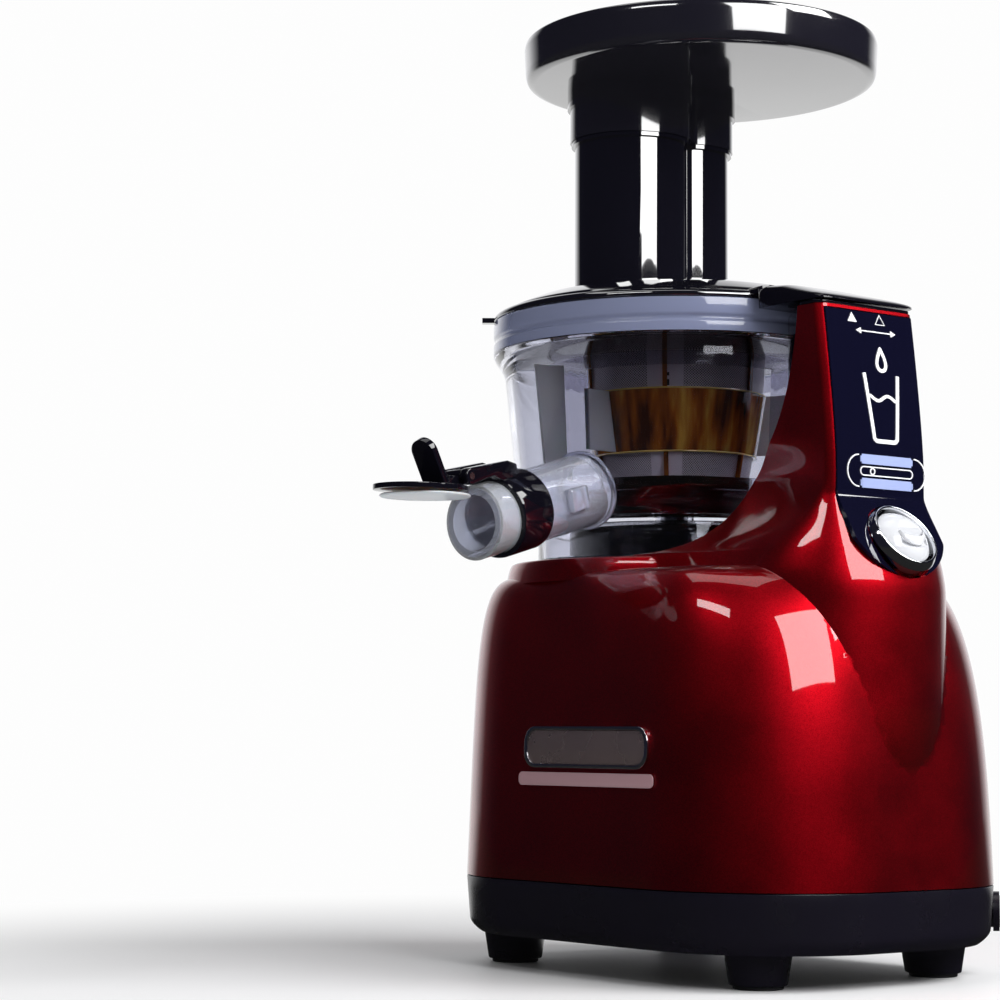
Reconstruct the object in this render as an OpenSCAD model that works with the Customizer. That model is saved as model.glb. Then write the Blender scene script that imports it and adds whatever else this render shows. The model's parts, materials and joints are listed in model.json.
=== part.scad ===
/* [Body] */
// Overall length of the body, front to back
body_len = 224; // [218:1:240]
// Overall width of the body, side to side
body_wid = 168; // [164:1:184]
// Radius of the body's upright corners
corner_r = 65; // [60:1:70]
// How far the body's middle lies behind the middle of the feet
body_shift = 3; // [0:0.5:6]
// Wall thickness of the mouldings
shell_t = 3; // [2.4:0.1:3.6]
// Height of the red housing, from its seam to its shoulder
body_h = 128; // [126:1:136]
// How much the body draws in from the seam to the shoulder
body_taper = 5; // [3:0.5:7]
// Gap between mouldings that meet
seam_gap = 0.25; // [0.2:0.05:0.4]

/* [Base] */
// Height of the feet
foot_h = 14; // [12:0.5:18]
// Radius of a foot where it meets the base
foot_r = 13.5; // [12:0.5:14]
// Distance between foot centres, front to back
foot_span_x = 153.6; // [146:0.2:156]
// Distance between foot centres, side to side
foot_span_y = 98.2; // [94:0.2:104]
// Radius of the rubber pad under a foot
pad_r = 10; // [8.5:0.5:10.5]
// Height of the black base pan
pan_h = 24; // [20:1:28]
// How much the pan draws in at its bottom edge
pan_draft = 7; // [4:0.5:8]
// Radius of the cord passage in the gland
gland_bore_r = 3.6; // [3:0.1:4.2]

/* [Column] */
// Height of the column's top above the table
col_top = 270.5; // [266:0.5:278]
// Width of the column's back face
col_wid = 54; // [50:1:60]
// Radius of the rounded lower part of the column
col_low_r = 45.5; // [42:0.5:48]
// Width of the control panel
panel_wid = 49; // [40:1:50]
// Thickness of the control panel
panel_t = 2.2; // [1.6:0.1:2.6]

/* [Switch] */
// Radius of the rocker
rocker_r = 12.4; // [10:0.2:13]
// Width of the bright ring round the rocker
bezel_w = 2.6; // [1.8:0.2:3.2]
// Running gap between the rocker and its ring
rocker_gap = 1.2; // [1.1:0.05:1.4]
// Radius of the rocker's hinge pin
rocker_pin_r = 1.5; // [1.2:0.1:1.8]

/* [Bowl] */
// Distance from the middle of the feet to the bowl's axis
bowl_off = 28; // [24:0.5:32]
// Outer radius of the bowl's rim
rim_r = 79.5; // [77:0.5:82]
// Height of the bowl's top edge above the seat
bowl_h = 105; // [103:1:110]
// Wall thickness of the bowl
bowl_t = 2.8; // [2.2:0.1:3.2]
// Outer radius of the bowl's skirt
skirt_r = 59.5; // [57:0.5:61]
// Outer radius of the juice spout
spout_r = 15.5; // [14:0.5:16.5]
// Distance from the bowl's axis to the mouth of the spout
spout_reach = 136; // [130:1:142]
// Turn of the spout from the side of the machine
spout_turn = 12; // [6:1:16]
// Fall of the spout
spout_fall = 14.7; // [10:0.1:16]

/* [Strainer and auger] */
// Radius of the strainer's top edge
sieve_top_r = 40; // [38:0.5:41]
// Radius of the strainer's bottom edge
sieve_low_r = 31.8; // [31:0.2:33]
// Thickness of the strainer's sheet
sieve_t = 0.8; // [0.5:0.1:1]
// Outer radius of the wiper frame's top
wiper_top_r = 57; // [55:0.5:59]
// Radius of the auger's core
auger_core_r = 19; // [16:0.5:21]
// Number of flights on the auger
auger_flights_n = 2; // [1:1:3]
// Clearance between the auger's flights and the strainer
flight_gap = 1.2; // [0.8:0.1:2]

/* [Lid and hopper] */
// Rise of the lid's dome
dome_rise = 14; // [11:0.5:18]
// Radius of the feed chute's large lobe
chute_r = 25; // [23.5:0.5:26]
// Radius of the feed chute's small lobe
chute_low_r = 20.5; // [19:0.5:21.5]
// Distance between the two lobes of the feed chute
chute_lobes = 32; // [30:1:33]
// Distance from the bowl's axis to the middle of the chute
chute_off = 15; // [14:0.5:18]
// Wall thickness of the chute
chute_t = 2.5; // [2:0.1:3]
// Radius of the hopper tray
tray_r = 77.2; // [70:0.2:84]
// Depth of the hopper tray
tray_depth = 18; // [15:1:24]
// Height of the tray's top edge above the table
tray_top = 400; // [392:1:412]
// Distance of the tray's middle behind the bowl's axis
tray_shift = 17.5; // [12:0.5:20]

/* [Drive] */
// Radius of the drive shaft
shaft_r = 6; // [5.2:0.1:6.4]
// Radius of the intermediate shaft
lay_r = 4; // [3:0.1:4.4]
// Radius of the motor shaft
motor_shaft_r = 3.5; // [3:0.1:4]
// Running clearance between a shaft and its bearing
shaft_fit = 0.05; // [0.02:0.01:0.09]
// Module of the first gear pair
mod_1 = 1.5; // [1.3:0.05:1.55]
// Module of the second gear pair
mod_2 = 2; // [1.8:0.05:2.05]
// Teeth of each pinion
pinion_n = 10; // [9:1:11]
// Teeth of the intermediate gear
gear_1_n = 46; // [44:1:48]
// Teeth of the output gear
gear_2_n = 41; // [39:1:43]
// Outer radius of the motor's core pack
stator_r = 35; // [32:0.5:37]

/* [Badge] */
// Length of the blank badge
badge_len = 78; // [60:1:84]
// Height of the blank badge
badge_h = 17; // [12:0.5:20]
// Height of the badge's middle above the table
badge_z = 93; // [84:1:100]

/* [Hidden] */
$fn = 96;

red = [0.62, 0.02, 0.05];
black = [0.05, 0.05, 0.06];
smoke = [0.62, 0.66, 0.70, 0.45];
amber = [0.85, 0.50, 0.05, 0.8];
steel = [0.75, 0.76, 0.78];
clear_white = [0.92, 0.93, 0.94];

// Heights, from the table up
seam_z = foot_h + pan_h;             // seam between the base pan and the housing
deck_z = seam_z + body_h;            // shoulder of the housing
seat_top = deck_z + 6.8;             // top of the seat's flange
bowl_foot = seat_top + 0.2;          // bottom of the bowl's skirt
floor_top = bowl_foot + 17;          // floor of the bowl
rim_top = bowl_foot + bowl_h;        // top edge of the bowl
ledge_z = rim_top - 14;              // ledge that carries the strainer
seat_hub = floor_top - bowl_t - 0.4; // top of the seat's hub
bowl_x = -bowl_off;                  // bowl's axis

// --- The body's outline: points on an upright rounded box, each with its outward direction ---
half_l = body_len / 2;
half_w = body_wid / 2;
flat_l = half_l - corner_r;
flat_w = half_w - corner_r;
corner_step = 9;
side_parts = 5;
function corner(sx, sy, a) = [body_shift + sx * flat_l, sy * flat_w, cos(a), sin(a)];
function flat(p, q, n) = [for (i = [1 : n - 1]) p + (q - p) * i / n];
OUTLINE = concat(
  [for (a = [0 : corner_step : 90]) corner(1, 1, a)], flat(corner(1, 1, 90), corner(-1, 1, 90), side_parts),
  [for (a = [90 : corner_step : 180]) corner(-1, 1, a)], flat(corner(-1, 1, 180), corner(-1, -1, 180), 2),
  [for (a = [180 : corner_step : 270]) corner(-1, -1, a)],
  flat(corner(-1, -1, 270), corner(1, -1, 270), side_parts),
  [for (a = [270 : corner_step : 360]) corner(1, -1, a)], flat(corner(1, -1, 360), corner(1, 1, 360), 2));
function ease(t) = let (u = max(0, min(1, t))) u * u * (3 - 2 * u);
function mix(a, b, t) = a + (b - a) * t;

// The shoulder is a superellipse that grows softer towards the back
shoulder_front = 26;
shoulder_back = 38;
function softness(p) = ease((p[0] + p[2] * corner_r - 15) / (half_l - 20));
function shoulder_w(p) = mix(shoulder_front, shoulder_back, softness(p));
function shoulder_n(p) = mix(5.5, 3, softness(p));
function body_pt(p, f, inset, top) =
  let (e = 2 / shoulder_n(p), h = pow(sin(f), e),
       d = inset + body_taper * h + shoulder_w(p) * (1 - pow(cos(f), e)), r = corner_r - d)
  [p[0] + p[2] * r, p[1] + p[3] * r, seam_z + (top - seam_z) * h];

// A closed solid through rings of equally many points
module skin(rings) {
  n = len(rings[0]);
  m = len(rings);
  polyhedron(points = [for (ring = rings) each ring],
    faces = concat([[for (i = [0 : n - 1]) i]], [[for (i = [n - 1 : -1 : 0]) (m - 1) * n + i]],
      [for (k = [0 : m - 2], i = [0 : n - 1]) let (j = (i + 1) % n, a = k * n + i, b = k * n + j)
        each [[a, a + n, b + n], [a, b + n, b]]]), convexity = 8);
}
module body_solid(inset, bottom, top, steps) {
  skin(concat([[for (p = OUTLINE) [p[0] + p[2] * (corner_r - inset), p[1] + p[3] * (corner_r - inset),
    bottom]]],
    [for (k = [0 : steps]) [for (p = OUTLINE) body_pt(p, 90 * k / steps, inset, top)]]));
}

// --- The column: plan sections that run from a slim panel down to a wide skirt round the bowl ---
ring_r = 71.5;
plinth_top = deck_z + 5.8;
flare_low = deck_z - 12;
flare_top = flare_low + 40;
back_low = body_shift + half_l - 0.6;
back_mid = back_low - 17;
lean = 6.5;
function down(z) = ease((flare_top + 6 - z) / 40);
function back_x(z) = z > flare_top ? back_mid - lean * pow(max(0, z - flare_top - 14) / 62, 1.3)
  : mix(back_mid, back_low, pow(sin(90 * min(1, (flare_top - z) / (flare_top - flare_low))), 1.25))
    - 5 * ease((deck_z - 56 - z) / 60);
function half_width(z) = mix(col_wid / 2, col_low_r, down(z));
function back_round(z) = mix(5, col_low_r - 1, down(z));
// The red edge falls away round the bowl: its half angle at each height, and its radius there
edge_r = 79;
edge_rise = 30;
edge_foot = 0.4;
edge_start = 17;
edge_top = plinth_top + edge_rise;
function edge_turn(h) = let (l = ln(edge_rise / h)) edge_start + l * (12.2 - 0.75 * l);
edge_end = edge_turn(edge_foot);
function edge_angle(z) = edge_turn(max(edge_foot, min(edge_rise, z - plinth_top)));
function edge_rad(z) =
  mix(edge_r, ring_r - 3.4, ease((edge_angle(z) - edge_start) / (edge_end - edge_start)))
  - min(30, 1.5 * max(0, deck_z - 1 - z));
function front_x(z) = bowl_x + edge_r * cos(edge_start) + 33 * (1 - exp(-max(0, z - edge_top) / 28));
function front_pt(z, s, d) = z >= edge_top
  ? [front_x(z) + 4 * (1 - s * s) + d, s * (1 - d / (d + half_width(z)))
      * mix(edge_r * sin(edge_start), col_wid / 2, ease((z - edge_top) / 16))]
  : let (a = (min(d > 0 ? 46 : 90, edge_angle(z)) - d) * s, r = edge_rad(z) + d)
    [bowl_x + r * cos(a), r * sin(a)];
col_arc = 8;
col_front = 16;
col_side = 8;
function bend(a, c, b, n) = [for (i = [1 : n - 1]) let (t = i / n) a * (1 - t) * (1 - t)
  + c * 2 * t * (1 - t) + b * t * t];
// Outline at height z, drawn in by d on the sides and front and by back_d at the back
function col_section(z, d, back_d) =
  let (r = max(1.5, back_round(z) - d), x = back_x(z) - back_d - r, w = half_width(z) - d, y = w - r,
       f = [for (i = [0 : col_front]) front_pt(z, 1 - 2 * i / col_front, d)],
       pull = down(z) * 0.85, k = min(x, mix((x + f[0][0]) / 2, 42, pull)))
  [for (q = concat([for (i = [0 : col_arc]) let (a = -90 + 90 * i / col_arc)
    [x + r * cos(a), -y + r * sin(a)]],
    [for (i = [0 : col_arc]) let (a = 90 * i / col_arc) [x + r * cos(a), y + r * sin(a)]],
    bend([x, w], [k, mix((w + f[0][1]) / 2, w + 2, pull)], f[0], col_side), f,
    bend(f[col_front], [k, -mix((w + f[0][1]) / 2, w + 2, pull)], [x, -w], col_side))) [q[0], q[1], z]];
module column_solid(d, back_d, bottom, top) {
  low = [for (t = [0 : 8]) mix(bottom, deck_z - 1, t / 8)];
  wing = [for (t = [0 : 12]) plinth_top + edge_foot + (edge_rise - edge_foot) * pow(t / 12, 1.5)];
  high = [for (z = [edge_top + 3 : 5 : top - 2]) z];
  skin([for (z = concat(low, wing, high, [top])) if (z <= top) col_section(z, d, back_d)]);
}

// The back face as a side view, drawn in by d, from z1 to z2
function back_line(d, z1, z2, n) = [for (i = [0 : n]) let (z = z1 + (z2 - z1) * i / n) [back_x(z) - d, z]];
// Runs a side view (x, z) across the machine
module across(w) { translate([0, w / 2, 0]) rotate([90, 0, 0]) linear_extrude(w) children(); }
// Outline of the panel seen from behind: straight sides and a bowed foot
panel_foot = deck_z - 5.5;
panel_top = col_top - 1.6;
module panel_slab(d1, d2, grow) {
  intersection() {
    across(body_wid) polygon(concat(back_line(d1, panel_foot - 3, col_top + 1, 26),
      [for (i = [26 : -1 : 0]) back_line(d2, panel_foot - 3, col_top + 1, 26)[i]]));
    translate([back_mid - 40, 0, 0]) rotate([90, 0, 90]) linear_extrude(100) panel_tall(grow);
  }
}
module panel_tall(grow) {
  bow_r = 28;
  union() {
    translate([-panel_wid / 2 - grow, panel_foot + bow_r])
      square([panel_wid + 2 * grow, panel_top - panel_foot - bow_r + grow]);
    intersection() {
      translate([-panel_wid / 2 - grow, panel_foot - grow]) square([panel_wid + 2 * grow, bow_r + 2 * grow]);
      translate([0, panel_foot + bow_r]) circle(bow_r + grow);
    }
  }
}

// --- The switch sits square on the flare ---
switch_z = deck_z + 9.5;
switch_tilt = 36;
switch_x = back_x(switch_z);
bezel_r = rocker_r + rocker_gap + bezel_w;
module on_switch() { translate([switch_x, 0, switch_z]) rotate([0, 90 - switch_tilt, 0]) children(); }

// --- Housing ---
post_at = [[-25, 1], [48, 1], [-25, -1], [48, -1]];
post_r = 5;
post_y = half_w - shell_t - 5.5;
badge_x = 11;
badge_tilt = atan(body_taper / body_h);
strip_len = 85;
strip_h = 5.5;
strip_drop = 13;
// Stands children on the badge side, face outwards, at height z
module on_side(z) {
  translate([badge_x, -half_w + body_taper * (z - seam_z) / body_h, z]) rotate([90 - badge_tilt, 0, 0])
    children();
}
module pill(l, h) {
  r = h / 2.6;
  polygon([for (q = [0 : 3], a = [90 * q : 15 : 90 * q + 90])
    [(q == 0 || q == 3 ? 1 : -1) * (l / 2 - r) + r * cos(a), (q < 2 ? 1 : -1) * (h / 2 - r) + r * sin(a)]]);
}
module housing() {
  color(red) difference() {
    union() {
      body_solid(0, seam_z + seam_gap, deck_z, 12);
      column_solid(0, 0, seam_z + 24, col_top);
      translate([bowl_x, 0, deck_z - 4]) rotate_extrude($fn = 72)
        polygon([[40, 0], [ring_r + 2, 0], [ring_r + 1, 5], [ring_r, 8], [ring_r - 1.6, 9.6],
          [skirt_r + 3.5, 9.6], [skirt_r + 3.5, 3.8], [40, 3.8]]);
    }
    difference() {
      union() {
        body_solid(shell_t, seam_z - 1, deck_z - shell_t, 8);
        column_solid(shell_t + 0.6, shell_t + panel_t + 0.8, deck_z - 6, col_top - shell_t);
      }
      for (p = post_at) translate([p[0], p[1] * post_y, seam_z - 2]) cylinder(h = 70, r = post_r, $fn = 20);
    }
    for (p = post_at) translate([p[0], p[1] * post_y, seam_z - 2]) cylinder(h = 30, r = 1.8, $fn = 16);
    translate([bowl_x, 0, deck_z - 12]) cylinder(h = 30, r = 30, $fn = 48);
    panel_slab(panel_t + 0.4, -6, 0.3);
    on_switch() translate([0, 0, -22]) cylinder(h = 40, r = bezel_r - 0.8, $fn = 40);
    on_side(badge_z) translate([0, 0, -0.7]) linear_extrude(4) pill(badge_len + 0.4, badge_h + 0.4);
  }
}

// --- Base pan, feet and gland ---
module pan_ring(inset, z1, z2) {
  n = 4;
  skin(concat([for (k = [0 : n]) let (t = k / n, z = mix(z1, z1 + 6, t),
    d = inset + pan_draft * pow(1 - t, 1.8) * 0.7)
      [for (p = OUTLINE) [p[0] + p[2] * (corner_r - d - 1.4), p[1] + p[3] * (corner_r - d - 1.4), z]]],
    [[for (p = OUTLINE) [p[0] + p[2] * (corner_r - inset), p[1] + p[3] * (corner_r - inset), z2]]]));
}
foot_at = [for (sx = [-1, 1], sy = [-1, 1]) [sx * foot_span_x / 2, sy * foot_span_y / 2]];
pan_t = 3;
pan_floor = foot_h + pan_t;
gland_turn = 42;
gland_z = foot_h + 12;
gland_reach = 111;
module on_gland() {
  translate([body_shift, 0, gland_z]) rotate([0, 0, gland_turn]) translate([gland_reach, 0, 0])
    rotate([0, 90, 0])
    children();
}
module base_pan() {
  color(black) difference() {
    union() {
      difference() {
        pan_ring(0, foot_h, seam_z);
        pan_ring(shell_t, foot_h + pan_t, seam_z + 1);
      }
      for (p = post_at) translate([p[0], p[1] * post_y, foot_h + 1])
        cylinder(h = pan_h - 1.5, r = post_r, $fn = 12);
      for (p = foot_at) translate([p[0], p[1], foot_h + 1]) cylinder(h = 12, r = 4.5, $fn = 12);
    }
    for (p = post_at) translate([p[0], p[1] * post_y, foot_h - 1]) {
      cylinder(h = pan_h + 2, r = 2.2, $fn = 12);
      cylinder(h = 6, r = 4.2, $fn = 12);
    }
    for (p = foot_at) translate([p[0], p[1], foot_h - 1]) cylinder(h = 16, r = 1.8, $fn = 12);
    for (i = [-4 : 4]) translate([motor_x + i * 7 - 1.5, -20, foot_h - 1]) cube([3, 40, pan_t + 2]);
    on_gland() translate([0, 0, -14]) cylinder(h = 20, r = gland_bore_r + 3.3, $fn = 24);
  }
}
module feet() {
  color(black) for (p = foot_at) translate([p[0], p[1], 0]) difference() {
    translate([0, 0, 1.5]) cylinder(h = foot_h - 1.5, r1 = foot_r - 2, r2 = foot_r);
    translate([0, 0, 1]) cylinder(h = 3.6, r = pad_r + 0.05);
    cylinder(h = foot_h + 1, r = 2.2);
    cylinder(h = foot_h - 4, r = 4.4);
  }
}
module foot_pads() {
  color([0.12, 0.12, 0.12]) for (p = foot_at) translate([p[0], p[1], 0]) difference() {
    cylinder(h = 4.6, r = pad_r);
    translate([0, 0, -1]) cylinder(h = 7, r = 4.4);
  }
}
module screw(head_r, head_h, shank_r, length) {
  difference() {
    union() {
      cylinder(h = head_h, r = head_r);
      cylinder(h = length, r = shank_r);
    }
    for (a = [0, 90]) rotate([0, 0, a]) translate([0, 0, head_h / 4])
      cube([head_r * 1.3, 0.9, head_h / 2 + 0.1], center = true);
  }
}
module foot_screws() {
  color(steel) for (p = foot_at) translate([p[0], p[1], foot_h - 6.2]) screw(4, 2.2, 1.7, 16);
}
module pan_screws() {
  color(steel) for (p = post_at) translate([p[0], p[1] * post_y, foot_h + 2.8]) screw(3.9, 2.2, 1.6, 42);
}
module cord_gland() {
  color(black) on_gland() difference() {
    union() {
      translate([0, 0, -8]) cylinder(h = 12, r = gland_bore_r + 3);
      translate([0, 0, 1.2]) cylinder(h = 2.6, r = gland_bore_r + 4.6);
    }
    translate([0, 0, -10]) cylinder(h = 20, r = gland_bore_r);
  }
}

// --- Column trim and controls ---
cap_t = 1.4;
module column_cap() {
  color(black) translate([0, 0, col_top + 0.2]) linear_extrude(cap_t)
    polygon([for (q = col_section(col_top, 0.6, 0.6)) [q[0], q[1]]]);
}
liner_gap = 1.5;
liner_low = seat_top + edge_rise + 2;
function liner_front() = bowl_x + rim_r + liner_gap;
module column_liner() {
  nose = 7;
  color(black) difference() {
    intersection() {
      across(col_wid) polygon(concat([[liner_front() - 8, liner_low], [liner_front() - 8, col_top]],
        [for (i = [16 : -1 : 0]) let (z = liner_low + (col_top - liner_low) * i / 16)
          [front_x(z) - 0.3, z]]));
      linear_extrude(400) polygon([[front_x(col_top) + 4, -col_wid / 2 + 1.5],
        [front_x(col_top) - 2, -col_wid / 2 + 1.5], [liner_front() - 2, -nose], [liner_front() - 9, -nose],
        [liner_front() - 9, nose], [liner_front() - 2, nose],
        [front_x(col_top) - 2, col_wid / 2 - 1.5], [front_x(col_top) + 4, col_wid / 2 - 1.5]]);
    }
    translate([bowl_x, 0, liner_low - 1]) cylinder(h = 300, r = rim_r + liner_gap);
  }
}
module control_panel() {
  color([0.03, 0.03, 0.05]) difference() {
    panel_slab(panel_t + 0.3, 0.3, 0);
    on_switch() translate([0, 0, -22]) cylinder(h = 40, r = bezel_r - 0.6);
    on_switch() translate([0, 0, -0.2]) cylinder(h = 20, r = bezel_r + 0.2);
  }
}
bezel_h = 4;
module switch_bezel() {
  color("silver") on_switch() difference() {
    union() {
      translate([0, 0, -5.5]) cylinder(h = 6, r = bezel_r - 1.1);
      translate([0, 0, 0.3]) cylinder(h = bezel_h - 0.3, r1 = bezel_r, r2 = bezel_r - 1.4);
    }
    translate([0, 0, -6]) cylinder(h = 6 + bezel_h + 1, r = rocker_r + rocker_gap);
  }
}
rocker_t = 7;
pivot_z = 0.8;
switch_deep = 13;
switch_r = bezel_r - 1.3;
module switch_body() {
  color(black) on_switch() difference() {
    translate([0, 0, -switch_deep - 5.6]) cylinder(h = switch_deep, r = switch_r);
    translate([0, 0, -switch_deep - 3]) cylinder(h = switch_deep, r = rocker_r);
    translate([0, -20, pin_drop]) rotate([-90, 0, 0]) cylinder(h = 40, r = rocker_pin_r + 0.05);
  }
}
// The rocker turns on a pin that lies below its cap
pin_drop = pivot_z - 9;
module rocker() {
  grip = 7;
  color(clear_white) on_switch() difference() {
    union() {
      intersection() {
        translate([0, 0, -3]) cylinder(h = rocker_t + 3, r = rocker_r);
        translate([0, 0, pin_drop]) sphere(r = sqrt(pow(rocker_r, 2) + pow(pin_drop - bezel_h + 2, 2)),
          $fn = 96);
      }
      translate([-3.2, -rocker_r + 6, pin_drop - 2.8]) cube([6.4, 2 * rocker_r - 12, -pin_drop]);
    }
    translate([4.5, 0, rocker_t + 4.5]) rotate([90, 0, 0]) cylinder(h = 14, r = grip, center = true);
    translate([0, -20, pin_drop]) rotate([-90, 0, 0]) cylinder(h = 40, r = rocker_pin_r + 0.05);
  }
}
module rocker_pin() {
  l = 2 * switch_r - 1;
  color(steel) on_switch() translate([0, -l / 2, pin_drop]) rotate([-90, 0, 0])
    cylinder(h = l, r = rocker_pin_r);
}
module badge_frame() {
  color("silver") on_side(badge_z) translate([0, 0, -0.6]) linear_extrude(1.9) difference() {
    pill(badge_len, badge_h);
    pill(badge_len - 4, badge_h - 3.2);
  }
}
module badge_plate() {
  color([0.72, 0.68, 0.67]) on_side(badge_z) translate([0, 0, -0.6]) linear_extrude(1.4)
    pill(badge_len - 4.1, badge_h - 3.3);
}
module badge_strip() {
  color([0.75, 0.65, 0.66]) on_side(badge_z - strip_drop) translate([0, 0, 0.3]) linear_extrude(0.5)
    pill(strip_len, strip_h);
}

// --- Seat of the bowl ---
hub_r = 46;
module bowl_seat() {
  color(black) translate([bowl_x, 0, 0]) difference() {
    union() {
      translate([0, 0, deck_z]) cylinder(h = seat_top - deck_z, r = skirt_r + 3.2);
      translate([0, 0, deck_z]) cylinder(h = seat_hub - deck_z, r = hub_r);
      translate([0, 0, deck_z - 9]) cylinder(h = 10, r = 29.6);
    }
    translate([0, 0, deck_z - 10]) cylinder(h = 60, r = shaft_r + 2.4);
    translate([0, 0, deck_z - 10]) cylinder(h = seat_hub - deck_z, r = hub_r - 20);
  }
}
module shaft_seal() {
  color([0.3, 0.3, 0.3]) translate([bowl_x, 0, seat_hub - 4]) difference() {
    cylinder(h = 4, r = shaft_r + 2.4);
    translate([0, 0, -1]) cylinder(h = 6, r = shaft_r + shaft_fit);
  }
}

// --- Gear train: shaft places follow from the gear sizes ---
pitch_1 = mod_1 * (pinion_n + gear_1_n) / 2;
pitch_2 = mod_2 * (pinion_n + gear_2_n) / 2;
lay_turn = asin(0.567);
lay_x = bowl_x + pitch_2 * cos(lay_turn);
lay_y = pitch_2 * sin(lay_turn);
motor_x = lay_x + sqrt(pow(pitch_1, 2) - pow(lay_y, 2));
box_z = deck_z - 59;       // underside of the gearbox case
box_t = 3;
gear_1_z = box_z + 5;
gear_1_w = 8;
gear_2_z = gear_1_z + gear_1_w + 2;
gear_2_w = 14;
cover_z = gear_2_z + gear_2_w + 3;
cover_t = 4;

press_a = 25;              // pressure angle of all the gears
stub = 0.8;                // tooth height above the pitch line, in modules
play = 0.06;               // share of each tooth taken off for play
function inv(a) = tan(a) * 180 / PI - a;
function half_tooth(n, m, r) =
  let (rp = n * m / 2, rb = rp * cos(press_a), rr = max(r, rb))
  90 / n * (1 - play) + inv(press_a) - inv(acos(rb / rr));
// Outline of an external gear with a tooth on the +X axis
function gear_line(n, m) =
  let (rp = n * m / 2, ra = rp + stub * m, rf = rp - 1.15 * m, rb = max(rf, rp * cos(press_a)))
  [for (i = [0 : n - 1], q = [[rf, -1], [mix(rb, rp, 0.5), -1], [ra, -1], [ra, 1], [mix(rb, rp, 0.5), 1],
    [rf, 1]])
    let (w = q[0] == rf ? half_tooth(n, m, rb) + 0.15 * 90 / n : half_tooth(n, m, q[0]),
         a = 360 / n * i + q[1] * w) [q[0] * cos(a), q[0] * sin(a)]];
module gear(n, m, h) { linear_extrude(h) polygon(gear_line(n, m)); }
// Turns that bring a tooth of one gear into a gap of its mate at rest
mesh_2 = 180 / gear_2_n + lay_turn;
mesh_1 = atan2(-lay_y, motor_x - lay_x);

module case_plan(grow) {
  translate([bowl_x, 0]) circle(gear_2_n * mod_2 / 2 + 5 + grow);
  translate([lay_x, lay_y]) circle(gear_1_n * mod_1 / 2 + 4.5 + grow);
  translate([motor_x, 0]) circle(pinion_n * mod_1 / 2 + 7 + grow);
}
bearing_r = shaft_r + 5;
bush_r = lay_r + 3;
motor_bush_r = motor_shaft_r + 4;
module gearbox_case() {
  color([0.55, 0.56, 0.58]) difference() {
    translate([0, 0, box_z]) linear_extrude(cover_z - box_z) case_plan(0);
    translate([0, 0, box_z + box_t]) linear_extrude(cover_z) case_plan(-box_t);
    translate([bowl_x, 0, box_z - 1]) cylinder(h = 9, r = bearing_r);
    translate([lay_x, lay_y, box_z - 1]) cylinder(h = 9, r = bush_r);
    translate([motor_x, 0, box_z - 1]) cylinder(h = 9, r = motor_bush_r);
  }
}
module gearbox_cover() {
  color([0.55, 0.56, 0.58]) difference() {
    translate([0, 0, cover_z]) linear_extrude(cover_t) case_plan(0);
    translate([bowl_x, 0, cover_z - 1]) cylinder(h = 9, r = bearing_r);
    translate([lay_x, lay_y, cover_z - 1]) cylinder(h = 9, r = bush_r);
  }
}
module gearbox_posts() {
  z = cover_z + cover_t;
  color(steel) for (p = [[-36, 0], [0, -37], [0, 37], [lay_x - bowl_x + 6, 30]])
    translate([bowl_x + p[0], p[1], z]) cylinder(h = deck_z - shell_t - z - 0.1, r = 5);
}
module ring(x, y, z, r_out, r_in, h) {
  translate([x, y, z]) difference() {
    cylinder(h = h, r = r_out);
    translate([0, 0, -1]) cylinder(h = h + 2, r = r_in);
  }
}
can_z = pan_floor + 18;
module bearings() {
  color([0.8, 0.7, 0.45]) {
    ring(bowl_x, 0, box_z, bearing_r, shaft_r + shaft_fit, box_t);
    ring(bowl_x, 0, cover_z, bearing_r, shaft_r + shaft_fit, cover_t);
    ring(lay_x, lay_y, box_z, bush_r, lay_r + shaft_fit, box_t);
    ring(lay_x, lay_y, cover_z, bush_r, lay_r + shaft_fit, cover_t);
    ring(motor_x, 0, box_z, motor_bush_r, motor_shaft_r + shaft_fit, box_t);
    ring(motor_x, 0, can_z, motor_bush_r, motor_shaft_r + shaft_fit, box_t);
  }
}
can_gap = 0.3;
can_r = stator_r + can_gap + 2;
module motor_can() {
  color([0.35, 0.36, 0.38]) difference() {
    translate([motor_x, 0, can_z + box_t + 0.1]) cylinder(h = box_z - can_z - box_t - 0.2, r = can_r);
    translate([motor_x, 0, can_z]) cylinder(h = box_z - can_z - 4, r = stator_r);
    translate([motor_x, 0, can_z]) cylinder(h = 200, r = motor_bush_r + 4);
    for (a = [0 : 45 : 315]) translate([motor_x, 0, can_z + 12]) rotate([0, 0, a]) translate([can_r, 0, 0])
      cube([12, 8, 12], center = true);
  }
}
module motor_bracket() {
  color([0.35, 0.36, 0.38]) difference() {
    union() {
      translate([motor_x, 0, can_z]) cylinder(h = box_t, r = can_r);
      for (a = [45 : 90 : 315]) translate([motor_x, 0, pan_floor]) rotate([0, 0, a])
        translate([can_r - 4, 0, 0])
        cylinder(h = can_z - pan_floor + 0.1, r = 3.5);
    }
    translate([motor_x, 0, can_z - 1]) cylinder(h = 9, r = motor_bush_r);
    for (a = [0 : 60 : 300]) translate([motor_x, 0, can_z - 1]) rotate([0, 0, a]) translate([20, 0, 0])
      cylinder(h = 9, r = 6);
  }
}
stator_z = can_z + 17;
stator_h = box_z - can_z - 32;
rotor_r = 19;
air_gap = 0.6;
module stator() {
  color([0.45, 0.45, 0.47]) ring(motor_x, 0, stator_z, stator_r, rotor_r + air_gap, stator_h);
}
module windings() {
  color([0.72, 0.40, 0.18]) for (z = [stator_z - 5.2, stator_z + stator_h + 5.2])
    translate([motor_x, 0, z]) rotate_extrude() translate([27, 0]) circle(5);
}
rotor_bore = motor_shaft_r;
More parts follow.
